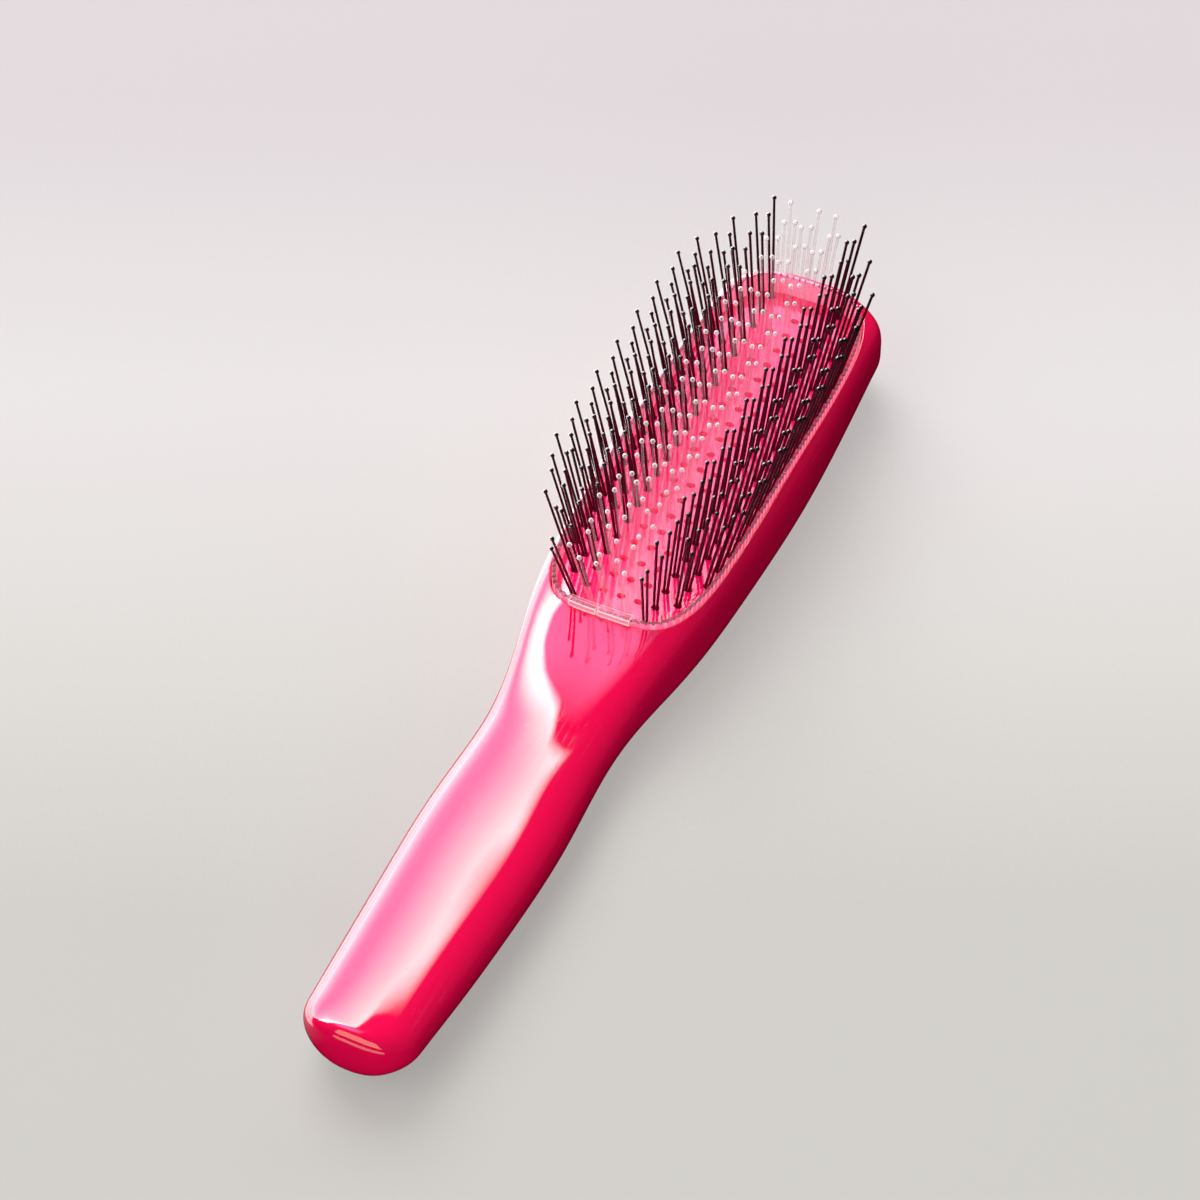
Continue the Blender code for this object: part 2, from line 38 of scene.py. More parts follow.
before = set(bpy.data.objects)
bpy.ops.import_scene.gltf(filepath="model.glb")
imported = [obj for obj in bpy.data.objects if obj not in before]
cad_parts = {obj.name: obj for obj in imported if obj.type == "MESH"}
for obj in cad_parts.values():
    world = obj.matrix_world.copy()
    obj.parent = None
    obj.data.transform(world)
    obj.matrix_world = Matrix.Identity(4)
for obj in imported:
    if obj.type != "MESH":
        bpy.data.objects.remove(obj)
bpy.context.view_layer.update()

# The body's stations: place as a share of the handle's or the head's length, then the
# width, the top and the underside as shares of its own width and height
HANDLE_STATION_SHARES = (
    (0.000, 0.780, 1.080, 0.300),
    (0.205, 0.864, 1.045, 0.143),
    (0.462, 0.940, 1.000, 0.026),
    (0.744, 1.000, 0.980, 0.000),
    (1.000, 0.898, 0.955, 0.030),
)
HEAD_STATION_SHARES = (
    (0.115, 0.694, 0.769, 0.052),
    (0.246, 0.883, 0.967, 0.000),
    (0.426, 0.961, 0.990, 0.000),
    (0.607, 1.000, 1.000, 0.000),
    (0.803, 0.951, 0.986, 0.047),
    (1.000, 0.883, 0.967, 0.151),
)
REST_SHARE = 0.426
NECK_SHARE = 0.213
HANDLE_POWER = 2.2
HEAD_TOP_POWER = 4.4
HEAD_BACK_POWER = 2.9
PLAN_POWER = 2.4
OPENING_POWER = 4.36
HANDLE_PEG_SHARES = (0.256, 0.615, 0.949)
SHOULDER_PEG_SHARE = 0.68
HEAD_POST_SHARES = (-0.76, 0.0, 0.76)
SIDE_COLUMNS = 4
CLEAR_COLUMNS = 1
STAGGERED_COLUMN = 3
COLUMNS = range(-SIDE_COLUMNS, SIDE_COLUMNS + 1)
COLUMN_SIDES = ("right", "left")
COLUMN_NAMES = {2: "inner", 3: "middle", 4: "outer"}

# The body's sizes are evened out over seven places at this spacing
STATION_EASE = 0.0060
EASE_WEIGHTS = (1, 4, 8, 10, 8, 4, 1)

# Pegs, sockets, posts and studs inside the shells
PEG_RADIUS, PEG_LENGTH = 0.0014, 0.003
SOCKET_RADIUS, SOCKET_DROP = 0.003, 0.00012
BORE_RADIUS, BORE_DEPTH = 0.0017, 0.0033
POST_RADIUS, STUD_RADIUS = 0.0022, 0.0011

# Counts of points round or along a form, and how far cutters run past what they cut
BAR_SIDES = 24
CAVITY_SIDES, CAVITY_ROWS = 48, 72
COLLAR_POINTS, RIM_POINTS, PLATE_POINTS, STRIP_POINTS = 96, 200, 160, 240
PIN_SIDES, HOLE_SIDES = 8, 16
SLEEVE_STEPS = 8
OVERRUN = 0.004
SHORT_OVERRUN = 0.0005
COLLAR_OVERRUN = 0.0001

# The lip round the opening: turns of its round in degrees, and how far its cutter flares
LIP_TURNS = (22, 44, 62, 78)
LIP_FLARE, LIP_RISE = 1.25, 0.00035

# Pin holes: heights over the plate's face with the share of the flare there
HOLE_LEVELS = ((-0.0011, 0.0), (-0.0004, 0.55), (-0.00012, 0.85), (0.00008, 1.1))
HOLE_SQUARENESS, LENGTHWISE_FLARE = 0.8, 0.6

# Folded pins: how far apart the legs are modelled, the turns of a ball, and the fold
LEG_STAND = 0.002
BALL_TURNS = (22, 55, 90, 120, 146)
FOLD_HEIGHT, FOLD_TILT = 0.0002, 50
FOLD_RISES, FOLD_OUTS = (0.0007, 0.00018), (0.00014, -0.00004)
SPLIT_BAND = 0.00001

# Strip and sleeves: steps over half a notch, softened edges, and the sleeves' joint
NOTCH_STEPS = (-1.0, -0.86, -0.5, 0.0, 0.5, 0.86, 1.0)
STRIP_SOFT, PLATE_SOFT, SLEEVE_SOFT = 0.00009, 0.00018, 0.00013
LEVEL_FACE, SQUARE_FACE, SMALL_FACE = 0.15, 0.96, 0.00000009
JOINT_SHARE, JOINT_GAP = 0.04, 0.0003

WHITE = (1.0, 1.0, 1.0)
BLACK = (0.0, 0.0, 0.0, 1.0)
FLOOR_DROP = 0.00003


# Settings that a user would change


def a_length(name, description, default):
    return FloatProperty(name=name, description=description, default=default, unit="LENGTH")


def an_angle(name, description, degrees):
    return FloatProperty(
        name=name, description=description, default=math.radians(degrees), subtype="ANGLE")


def a_colour(name, description, colour):
    return FloatVectorProperty(
        name=name, description=description, default=colour + (1.0,), size=4, subtype="COLOR",
        min=0.0, max=1.0)


class BrushBodySettings(bpy.types.PropertyGroup):
    """Sizes and finish of the two pink shells."""

    brush_length: a_length("Brush Length", "Length from the handle's end to the head's tip", 0.219)
    shoulder_length: a_length("Shoulder", "Length from the handle to the head's opening", 0.02724)
    handle_width: a_length("Handle Width", "Width of the handle at its belly", 0.0294)
    handle_height: a_length("Handle Height", "Height of the handle's face above the floor", 0.0154)
    head_width: a_length("Head Width", "Width of the head at its middle", 0.0412)
    head_height: a_length("Head Height", "Height of the head without its pins", 0.0212)
    end_rounding: a_length(
        "End Rounding", "Depth of the rounding at the handle's end in plan", 0.0086)
    tip_rounding: a_length(
        "Tip Rounding", "Depth of the rounding at the head's tip in plan", 0.0082)
    end_edge: a_length("End Edge", "Depth of the rounded edge at the handle's end", 0.0025)
    tip_edge: a_length("Tip Edge", "Depth of the rounded edge at the head's tip", 0.0011)
    foot_sink: a_length("Foot Sink", "How far the back is flattened where it rests", 0.0005)
    shell_wall: a_length("Shell Wall", "Wall thickness of the two shells", 0.0022)
    seam_height: a_length("Seam Height", "Height at which the two shells meet", 0.008)
    seam_gap: a_length("Seam Gap", "Width of the hairline between the two shells", 0.00003)
    rim_rounding: a_length("Rim Rounding", "Radius of the lip round the opening", 0.0004)
    shell_pink: a_colour("Shell Pink", "Base colour of the two shells", (0.92, 0.003, 0.078))
    body_sides: IntProperty(
        name="Sides", description="Faces round the body", default=112, min=32)
    body_rows: IntProperty(
        name="Rows", description="Rings along the body", default=200, min=48)


class BrushPlateSettings(bpy.types.PropertyGroup):
    """Sizes of the opening, the pin plate and what lies under it."""

    plate_pink: a_colour("Plate Pink", "Base colour of the pin plate", (0.84, 0.003, 0.112))
    opening_length: a_length("Opening Length", "Length of the opening in the head", 0.1042)
    opening_lip: a_length("Tip Lip", "Width of the rim at the head's tip", 0.00215)
    side_lip: a_length("Side Lip", "Width of the rim along the head's sides", 0.0028)
    collar_wall: a_length("Collar Wall", "Wall round the opening inside the head", 0.0016)
    plate_top: a_length("Plate Top", "Height of the pin plate's face", 0.0168)
    plate_thickness: a_length("Plate Thickness", "Thickness of the pin plate", 0.0026)
    carrier_thickness: a_length(
        "Carrier Thickness", "Thickness of the board under the pin plate", 0.0016)
    plate_inset: a_length("Plate Inset", "Distance from the opening's wall to the plate", 0.00125)
    clearance: a_length("Clearance", "Gap between neighbouring parts", 0.0003)
    hole_length: a_length("Hole Length", "Length of a pin hole's mouth across the brush", 0.00152)
    hole_width: a_length("Hole Width", "Width of a pin hole's mouth along the brush", 0.00086)
    mouth_flare: a_length("Mouth Flare", "How far a pin hole widens at the plate's face", 0.0003)
    groove_depth: a_length("Groove Depth", "Depth of the wire grooves in the plate's back", 0.0012)
    carrier_pink: a_colour(
        "Carrier Pink", "Base colour of the board under the plate", (0.80, 0.06, 0.18))


class BrushPinSettings(bpy.types.PropertyGroup):
    """Sizes and colours of the folded pins."""

    pin_diameter: a_length("Pin Diameter", "Diameter of a nylon leg", 0.0006)
    ball_diameter: a_length("Ball Diameter", "Diameter of the ball on a leg's tip", 0.00108)
    long_leg: a_length("Long Leg", "Length of a pin's longer leg above the plate", 0.025)
    short_leg: a_length("Short Leg", "Length of a pin's shorter leg above the plate", 0.0205)
    leg_spacing: a_length("Leg Spacing", "Distance between a pin's two legs at the plate", 0.00074)
    row_pitch: a_length("Row Pitch", "Distance between holes along a column", 0.00485)
    column_pitch: a_length("Column Pitch", "Distance between columns", 0.0038)
    edge_margin: a_length("Edge Margin", "Least distance from a hole to the plate's edge", 0.0012)
    fan_reach: a_length(
        "Fan Reach", "How far from the plate's ends the pins start to fan out", 0.027)
    side_lean: an_angle("Side Lean", "Outward lean of the outermost columns", 13.0)
    near_lean: an_angle("Handle Side Lean", "Lean of the row nearest to the handle", 19.0)
    far_lean: an_angle("Tip Side Lean", "Lean of the row nearest to the tip", 13.0)
    leg_splay: an_angle("Leg Splay", "How far each leg leans away from its pair", 0.7)
    wire_diameter: a_length("Wire Diameter", "Diameter of the anchor wires", 0.0004)
    black_nylon: a_colour(
        "Black Nylon", "Base colour of the black pins' tips", (0.006, 0.006, 0.006))
    # Painted reflection: the maroon of the black pins near the plate stands for the pink plate
    # mirrored in them
    painted_foot_reflection: a_colour(
        "Foot Maroon", "Base colour of the black pins close to the plate", (0.070, 0.0015, 0.008))
    clear_grey: a_colour(
        "Clear Grey", "Tone that the clear pins take near their tips", (0.74, 0.66, 0.69))
    # Painted reflection: the pink that the clear pins take near the plate stands for the plate seen
    # in them
    clear_painted_plate_cast: a_colour(
        "Clear Foot", "Tone that the clear pins take close to the plate", (1.0, 0.50, 0.60))
    clear_ball: a_colour("Clear Ball", "Tone of the clear pins' balls", (1.0, 0.93, 0.94))


class BrushTrimSettings(bpy.types.PropertyGroup):
    """Sizes and colours of the clear strip and of the sleeves over its joint."""

    strip_thickness: a_length("Strip Thickness", "Thickness of the clear edge strip", 0.0007)
    strip_stand: a_length("Strip Stand", "How far the strip stands above the rim", 0.0011)
    notch_pitch: a_length("Notch Pitch", "Distance between the notches along the strip", 0.00152)
    notch_length: a_length("Notch Length", "Length of a notch along the strip", 0.00056)
    notch_depth: a_length("Notch Depth", "Depth of a notch in the strip's top", 0.00042)
    sleeve_wall: a_length("Sleeve Wall", "Wall thickness of the sleeves", 0.00034)
    sleeve_gap: a_length("Sleeve Gap", "Gap between the sleeves and the strip inside them", 0.00012)
    sleeve_drop: a_length("Sleeve Drop", "How far the sleeves reach down outside the rim", 0.0008)
    short_sleeve: a_length("Short Sleeve", "Length of the shorter sleeve", 0.0062)
    long_sleeve: a_length("Long Sleeve", "Length of the longer sleeve", 0.0072)
    clear_vinyl: a_colour(
        "Clear Vinyl", "Base colour of the strip and the sleeves", (1.0, 0.20, 0.40))
    # Painted highlight: the cream of the sleeves' bevelled edges stands for light caught along them
    sleeve_highlight_cream: a_colour("Sleeve Cream", "Pale colour of the sleeves' edges", (1.0, 0.78, 0.66))
    # Painted shade: the dark faces in the strip's notches stand for the shade in them
    notch_shade_grey: a_colour(
        "Notch Grey", "Base colour of the smoky faces in the notches", (0.075, 0.055, 0.045))


class BrushStageSettings(bpy.types.PropertyGroup):
    """Floor, lamps and camera."""

    floor_near: a_colour("Near Floor", "Floor colour towards the camera", (0.658, 0.645, 0.620))
    floor_middle: a_colour("Middle Floor", "Floor colour under the brush", (0.761, 0.742, 0.717))
    floor_bright: a_colour("Bright Floor", "Floor colour beyond the head", (0.831, 0.799, 0.799))
    floor_far: a_colour("Far Floor", "Floor colour away from the camera", (0.745, 0.692, 0.716))
    camera_azimuth: an_angle("Camera Azimuth", "Direction of the camera round the brush", -64.83)
    camera_elevation: an_angle("Camera Elevation", "Height of the camera above the horizon", 47.5)
    camera_distance: a_length("Camera Distance", "Distance from the camera to the brush", 0.9)
    camera_lens: FloatProperty(
        name="Lens", description="Focal length in millimetres", default=135.06)


# Body curves


def body():
    return bpy.context.scene.brush_body


def plate():
    return bpy.context.scene.brush_plate


def pins():
    return bpy.context.scene.brush_pins


def trim():
    return bpy.context.scene.brush_trim


def head_length():
    return body().shoulder_length + plate().opening_length + plate().opening_lip


def handle_length():
    return body().brush_length - head_length()


def opening_middle():
    return body().brush_length - plate().opening_lip - plate().opening_length / 2


def opening_width():
    return body().head_width - 2 * plate().side_lip


def to_frame(place):
    """Distance along the brush turned into the frame's X."""
    return place - handle_length() - REST_SHARE * head_length()


def smooth_value(places, values, place):
    """Value at a place on the smooth curve through the stations, with no overshoot."""
    place = min(max(place, places[0]), places[-1])
    spans = [end - start for start, end in zip(places, places[1:])]
    slopes = [(end - start) / span for start, end, span in zip(values, values[1:], spans)]
    tangents = [0.0]
    for before, after in zip(slopes, slopes[1:]):
        level = before * after <= 0.0
        tangents.append(0.0 if level else 2 * before * after / (before + after))
    tangents.append(0.0)
    index = 0
    while index < len(spans) - 1 and place > places[index + 1]:
        index += 1
    t = (place - places[index]) / spans[index]
    rise = (3 - 2 * t) * t * t
    leave = (1 - t) * (1 - t) * t * spans[index] * tangents[index]
    arrive = (t - 1) * t * t * spans[index] * tangents[index + 1]
    return values[index] * (1 - rise) + values[index + 1] * rise + leave + arrive


@functools.lru_cache(maxsize=None)
def body_sizes(place):
    """Half width, top and underside of the body at a place, evened out a little."""
    near = [station_sizes(place + (step - 3) * STATION_EASE) for step in range(7)]
    return tuple(sum(w * sizes[index] for w, sizes in zip(EASE_WEIGHTS, near)) / sum(EASE_WEIGHTS)
                 for index in range(3))


def station_sizes(place):
    """Half width, top and underside on the curves through the stations."""
    handle, head = handle_length(), head_length()
    parts = ((HANDLE_STATION_SHARES, 0.0, handle, body().handle_width, body().handle_height),
             (HEAD_STATION_SHARES, handle, head, body().head_width, body().head_height))
    rows = [(start + share * span, width * wide / 2, top * high, under * high)
            for stations, start, span, wide, high in parts for share, width, top, under in stations]
    places, *sizes = zip(*rows)
    half, top, under = (smooth_value(places, values, place) for values in sizes)
    return half, top, under - body().foot_sink


def section_power(place, upper):
    """The section's power at a place: the handle is round and the head is squarer."""
    head = HEAD_TOP_POWER if upper else HEAD_BACK_POWER
    t = min(max((place - handle_length()) / (NECK_SHARE * head_length()), 0.0), 1.0)
    return HANDLE_POWER + (head - HANDLE_POWER) * t * t * (3 - 2 * t)


def rounding(depth, reach, power):
    """Share of the full size that is left at a depth inside a rounded end."""
    if depth >= reach:
        return 1.0
    return (1 - (1 - max(depth, 0.0) / reach) ** power) ** (1 / power)


def end_shares(place, inset):
    """Shares of the full width and height near the two rounded ends."""
    near = (place - inset, body().end_rounding, body().end_edge)
    far = (body().brush_length - inset - place, body().tip_rounding, body().tip_edge)
    wide = tall = 1.0
    for depth, reach, edge in (near, far):
        wide = min(wide, rounding(depth, reach - inset, PLAN_POWER))
        tall = min(tall, rounding(depth, edge, PLAN_POWER))
    return wide, tall


def body_ring(place, inset, angles):
    """Points round the body at a place, an inset inside its outer face."""
    wide, tall = end_shares(place, inset)
    half, top, under = body_sizes(place)
    half, top, under = (half - inset) * wide, top - inset, under + inset
    middle, rise = (top + under) / 2, (top - under) / 2 * tall
    soft = body().foot_sink
    ring = []
    for angle in angles:
        across, up = math.cos(angle), math.sin(angle)
        power = section_power(place, up > 0)
        reach = (abs(across) ** power + abs(up) ** power) ** (-1 / power)
        z = middle + rise * reach * up - inset
        if z < soft:
            z = 0.0 if z < -soft else (z + soft) ** 2 / (4 * soft)
        ring.append((to_frame(place), half * reach * across, z + inset))
    return ring


def surface_height(place, across):
    """Height of the body's upper face at a place and a distance from its middle."""
    half, top, under = body_sizes(place)
    power = section_power(place, True)
    out = min(abs(across) / half, 1.0)
    return (top + under) / 2 + (top - under) / 2 * (1 - out ** power) ** (1 / power)


def opening_point(angle, inset):
    """Plan place on the opening's outline, drawn in by an inset."""
    power = 2 / OPENING_POWER
    along, across = math.cos(angle), math.sin(angle)
    x = (plate().opening_length / 2 - inset) * math.copysign(abs(along) ** power, along)
    y = (opening_width() / 2 - inset) * math.copysign(abs(across) ** power, across)
    return opening_middle() + x, y


def opening_half_width(place, inset):
    """Half width of the opening at a place, or zero past its ends."""
    out = abs(place - opening_middle()) / (plate().opening_length / 2 - inset)
    if out >= 1.0:
        return 0.0
    return (opening_width() / 2 - inset) * (1 - out ** OPENING_POWER) ** (1 / OPENING_POWER)


def opening_near_edge(across, inset):
    """Place of the opening's edge on the handle's side at a distance from its middle."""
    out = min(abs(across) / (opening_width() / 2 - inset), 1.0)
    reach = (plate().opening_length / 2 - inset) * (1 - out ** OPENING_POWER) ** (1 / OPENING_POWER)
    return opening_middle() - reach


def even_angles(count):
    """Angles that stand evenly spaced along the opening's outline."""
    fine = 40 * count if count < 200 else 8 * count
    spots = [Vector(opening_point(2 * math.pi * step / fine, 0.0)) for step in range(fine + 1)]
    runs = [0.0]
    for before, after in zip(spots, spots[1:]):
        runs.append(runs[-1] + (after - before).length)
    angles, step = [], 0
    for index in range(count):
        goal = runs[-1] * index / count
        while runs[step + 1] < goal:
            step += 1
        share = (goal - runs[step]) / (runs[step + 1] - runs[step])
        angles.append(2 * math.pi * (step + share) / fine)
    return angles, runs[-1]


def bottom_of_plate():
    return plate().plate_top - plate().plate_thickness


def top_of_carrier():
    return bottom_of_plate() - plate().clearance


def top_of_posts():
    return top_of_carrier() - plate().carrier_thickness - plate().clearance


# Modelling helpers


def clear_selection():
    if bpy.context.object is not None and bpy.context.object.mode != "OBJECT":
        bpy.ops.object.mode_set(mode="OBJECT")
    bpy.ops.object.select_all(action="DESELECT")


def take(piece):
    """Make a piece the only selected and active one."""
    clear_selection()
    piece.select_set(True)
    bpy.context.view_layer.objects.active = piece


def named(name):
    piece = bpy.context.object
    piece.name = name
    piece.data.name = name
    return piece


def edit_all(piece):
    take(piece)
    bpy.ops.object.mode_set(mode="EDIT")
    bpy.ops.mesh.select_mode(type="VERT")
    bpy.ops.mesh.select_all(action="SELECT")


def leave_edit():
    bpy.ops.object.mode_set(mode="OBJECT")


def turn_outwards(piece):
    edit_all(piece)
    bpy.ops.mesh.normals_make_consistent(inside=False)
    leave_edit()


def dress(piece, *materials):
    """Give a piece these materials and no others."""
    piece.data.materials.clear()
    for material in materials:
        piece.data.materials.append(material)


def link_new(name, data):
    """A new object for some data, linked into the scene."""
    thing = bpy.data.objects.new(name, data)
    bpy.context.scene.collection.objects.link(thing)
    return thing


def add_body_form(name, inset, sides, rows):
    """Draw a sphere out into the whole body, an inset inside its outer face."""
    clear_selection()
    bpy.ops.mesh.primitive_uv_sphere_add(segments=sides, ring_count=rows, radius=1.0)
    piece = named(name)
    rings = {}
    for point in piece.data.vertices:
        rings.setdefault(round(point.co.z, 5), []).append(point)
    span = body().brush_length - 2 * inset
    for level, members in rings.items():
        place = inset + span * (1 - max(min(level, 1.0), -1.0)) / 2
        angles = [math.atan2(point.co.y, point.co.x) for point in members]
        if len(members) == 1:
            members[0].co = (to_frame(place), 0.0, sum(body_sizes(place)[1:]) / 2)
            continue
        for point, spot in zip(members, body_ring(place, inset, angles)):
            point.co = spot
    turn_outwards(piece)
    return piece


def add_ring_form(name, rings, round_trip=False):
    """Bend a grid into a closed form through rings of equally many points."""
    around = len(rings[0])
    along = len(rings) if round_trip else len(rings) - 1
    clear_selection()
    bpy.ops.mesh.primitive_grid_add(x_subdivisions=around, y_subdivisions=along, size=1.0)
    piece = named(name)
    for point in piece.data.vertices:
        side = round((point.co.x + 0.5) * around) % around
        row = round((point.co.y + 0.5) * along) % len(rings)
        point.co = rings[row][side]
    edit_all(piece)
    bpy.ops.mesh.remove_doubles(threshold=1e-7)
    if not round_trip:
        bpy.ops.mesh.fill_holes(sides=0)
    bpy.ops.mesh.select_all(action="SELECT")
    bpy.ops.mesh.normals_make_consistent(inside=False)
    leave_edit()
    return piece


def add_bar(name, place, y, radius, low, high):
    """An upright round bar between two heights."""
    clear_selection()
    bpy.ops.mesh.primitive_cylinder_add(
        vertices=BAR_SIDES, radius=radius, depth=high - low,
        location=(to_frame(place), y, (low + high) / 2))
    piece = named(name)
    bpy.ops.object.transform_apply(location=True, rotation=True, scale=True)
    return piece


def join(name, parts):
    clear_selection()
    for part in parts:
        part.select_set(True)
    bpy.context.view_layer.objects.active = parts[0]
    if len(parts) > 1:
        bpy.ops.object.join()
    return named(name)


def boolean(piece, tool, operation="DIFFERENCE"):
    """Cut or join a piece with a tool, which goes away."""
    modifier = piece.modifiers.new(tool.name, "BOOLEAN")
    modifier.object = tool
    modifier.operation = operation
    modifier.solver = "EXACT"
    take(piece)
    bpy.ops.object.modifier_apply(modifier=modifier.name)
    mesh = tool.data
    bpy.data.objects.remove(tool)
    bpy.data.meshes.remove(mesh)
    return piece


def mend_cuts(piece):
    """Weld the slivers that cuts leave behind."""
    edit_all(piece)
    bpy.ops.mesh.remove_doubles(threshold=2e-6)
    bpy.ops.mesh.dissolve_degenerate(threshold=2e-6)
    leave_edit()


def bevel(piece, width):
    modifier = piece.modifiers.new("edges", "BEVEL")
    modifier.width = width
    modifier.segments = 3
    modifier.limit_method = "ANGLE"
    modifier.angle_limit = math.radians(40)
    take(piece)
    bpy.ops.object.modifier_apply(modifier=modifier.name)


def smooth(piece, degrees):
    take(piece)
    bpy.ops.object.shade_smooth_by_angle(angle=math.radians(degrees))


def outline_rings(levels, count):
    """Rings along the opening's outline: pairs of inset and a height for each point."""
    angles = even_angles(count)[0]
    rings = []
    for inset, height in levels:
        ring = []
        for angle in angles:
            place, y = opening_point(angle, inset)
            z = height(place, y) if callable(height) else height
            ring.append((to_frame(place), y, z))
        rings.append(ring)
    return rings


def swept_bar(name, path, half, low, high):
    """A flat bar that follows a path in the plan."""
    rings = []
    for index, spot in enumerate(path):
        before = path[max(index - 1, 0)]
        after = path[min(index + 1, len(path) - 1)]
        ahead = (after - before).normalized()
        side = Vector((-ahead.y, ahead.x)) * half
        left, right = spot + side, spot - side
        ring = ((left, low), (right, low), (right, high), (left, high))
        rings.append([(to_frame(point.x), point.y, z) for point, z in ring])
    return add_ring_form(name, rings)


# Shader helpers


def add_node(tree, kind, **values):
    node = tree.nodes.new(kind)
    for key, value in values.items():
        setattr(node, key, value)
    return node


def feed(tree, node, values):
    """Wire values into a node's inputs, or set those that are plain."""
    for label, value in values.items():
        if isinstance(value, bpy.types.NodeSocket):
            tree.links.new(value, node.inputs[label])
        else:
            node.inputs[label].default_value = value
    return node.outputs


def arithmetic(tree, operation, first, second=0.0, clamp=False):
    node = add_node(tree, "ShaderNodeMath", operation=operation, use_clamp=clamp)
    return feed(tree, node, {0: first, 1: second})[0]


def multiply(tree, first, second):
    return arithmetic(tree, "MULTIPLY", first, second)


def spread(tree, value, low, high, start=0.0, end=1.0):
    """Move a value from one range into another, held at its ends."""
    node = add_node(tree, "ShaderNodeMapRange", clamp=True)
    return feed(tree, node, {
        "Value": value, "From Min": low, "From Max": high, "To Min": start, "To Max": end})[0]


def vary(tree, noise, start=0.0, end=1.0):
    """Let a noise run between two values."""
    return spread(tree, noise, 0.3, 0.7, start, end)


def own_place(tree):
    """The piece's own coordinates."""
    return add_node(tree, "ShaderNodeTexCoord").outputs["Object"]


def split(tree, vector):
    """A vector's X, Y and Z."""
    return feed(tree, add_node(tree, "ShaderNodeSeparateXYZ"), {"Vector": vector})


def mapped(tree, stretch=(1.0, 1.0, 1.0), turn=(0.0, 0.0, 0.0)):
    """The piece's own coordinates, stretched and turned."""
    return feed(tree, add_node(tree, "ShaderNodeMapping"), {
        "Vector": own_place(tree), "Scale": stretch, "Rotation": turn})["Vector"]


def object_noise(tree, scale, stretch=(1.0, 1.0, 1.0), turn=(0.0, 0.0, 0.0), detail=3.0):
    """Noise on the piece's own coordinates."""
    return feed(tree, add_node(tree, "ShaderNodeTexNoise"), {
        "Vector": mapped(tree, stretch, turn), "Scale": scale, "Detail": detail})["Fac"]


def mix_colours(tree, share, first, second):
    """Mix two colours by a value that changes over the surface."""
    node = add_node(tree, "ShaderNodeMix", data_type="RGBA")
    return feed(tree, node, {0: share, 6: first, 7: second})[2]


def tinted(colour, factor, lift=0.0):
    return tuple(min(channel * factor + lift, 1.0) for channel in colour[:3]) + (1.0,)


def make_group(name, inputs, outputs):
    """A shader node group with named inputs and outputs, and its two end nodes."""
    group = bpy.data.node_groups.new(name, "ShaderNodeTree")
    for label, value in inputs.items():
        socket = group.interface.new_socket(
            name=label, in_out="INPUT", socket_type="NodeSocketFloat")
        socket.default_value = value
    for label in outputs:
        group.interface.new_socket(name=label, in_out="OUTPUT", socket_type="NodeSocketFloat")
    return group, add_node(group, "NodeGroupInput").outputs, add_node(group, "NodeGroupOutput")


def build_scratches():
    """Fine hairline scratches that run mostly along the brush."""
    group, given, end = make_group("fine_scratches", {"Scale": 60.0, "Amount": 0.5}, ("Mask",))
    lines = []
    for stretch, turn in (((0.5, 26.0, 26.0), (0.0, 0.0, 0.05)),
                          ((0.8, 34.0, 34.0), (0.05, 0.1, -0.2))):
        noise = object_noise(group, given["Scale"], stretch, turn, 0.0)
        centred = arithmetic(group, "ABSOLUTE", arithmetic(group, "SUBTRACT", noise, 0.5))
        lines.append(spread(group, centred, 0.0, 0.006, 1.0, 0.0))
    patches = spread(group, object_noise(group, 45.0, detail=1.0), 0.52, 0.66)
    mask = multiply(group, arithmetic(group, "MAXIMUM", *lines), patches)
    feed(group, end, {"Mask": multiply(group, mask, given["Amount"])})
    return group


def build_dust():
    """Sparse small specks of dust and lint."""
    group, given, end = make_group("dust_specks", {"Scale": 900.0, "Amount": 0.5}, ("Mask",))
    cells = feed(group, add_node(group, "ShaderNodeTexVoronoi", feature="F1"), {
        "Vector": own_place(group), "Scale": given["Scale"]})
    dots = spread(group, cells["Distance"], 0.05, 0.14, 1.0, 0.0)
    few = spread(group, object_noise(group, 160.0, detail=1.0), 0.60, 0.66)
    feed(group, end, {"Mask": multiply(group, multiply(group, dots, few), given["Amount"])})
    return group


def build_flow():
    """Slow changes of tone and height over a moulded face."""
    group, given, end = make_group(
        "moulded_flow", {"Scale": 30.0, "Ripple": 700.0}, ("Tone", "Height"))
    feed(group, end, {
        "Tone": object_noise(group, given["Scale"], (0.6, 1.4, 1.4), detail=2.0),
        "Height": object_noise(group, given["Ripple"], detail=1.0)})
    return group


GROUP_BUILDERS = {
    "fine_scratches": build_scratches, "dust_specks": build_dust, "moulded_flow": build_flow}


def use_group(tree, name, **values):
    """Place an effect's node group in a material with its own values."""
    group = bpy.data.node_groups.get(name) or GROUP_BUILDERS[name]()
    return feed(tree, add_node(tree, "ShaderNodeGroup", node_tree=group), values)


def start_material(name):
    material = bpy.data.materials.new(name)
    material.use_nodes = True
    tree = material.node_tree
    return material, tree, tree.nodes["Principled BSDF"]


def add_bump(tree, shader, height, strength, distance):
    bump = feed(tree, add_node(tree, "ShaderNodeBump"), {
        "Strength": strength, "Distance": distance, "Height": height})
    feed(tree, shader, {"Normal": bump["Normal"]})


def grained(tree, shader, grain, rough, strength, distance):
    """Let a grain vary the gloss and stand up a little."""
    feed(tree, shader, {"Roughness": vary(tree, grain, *rough)})
    add_bump(tree, shader, grain, strength, distance)


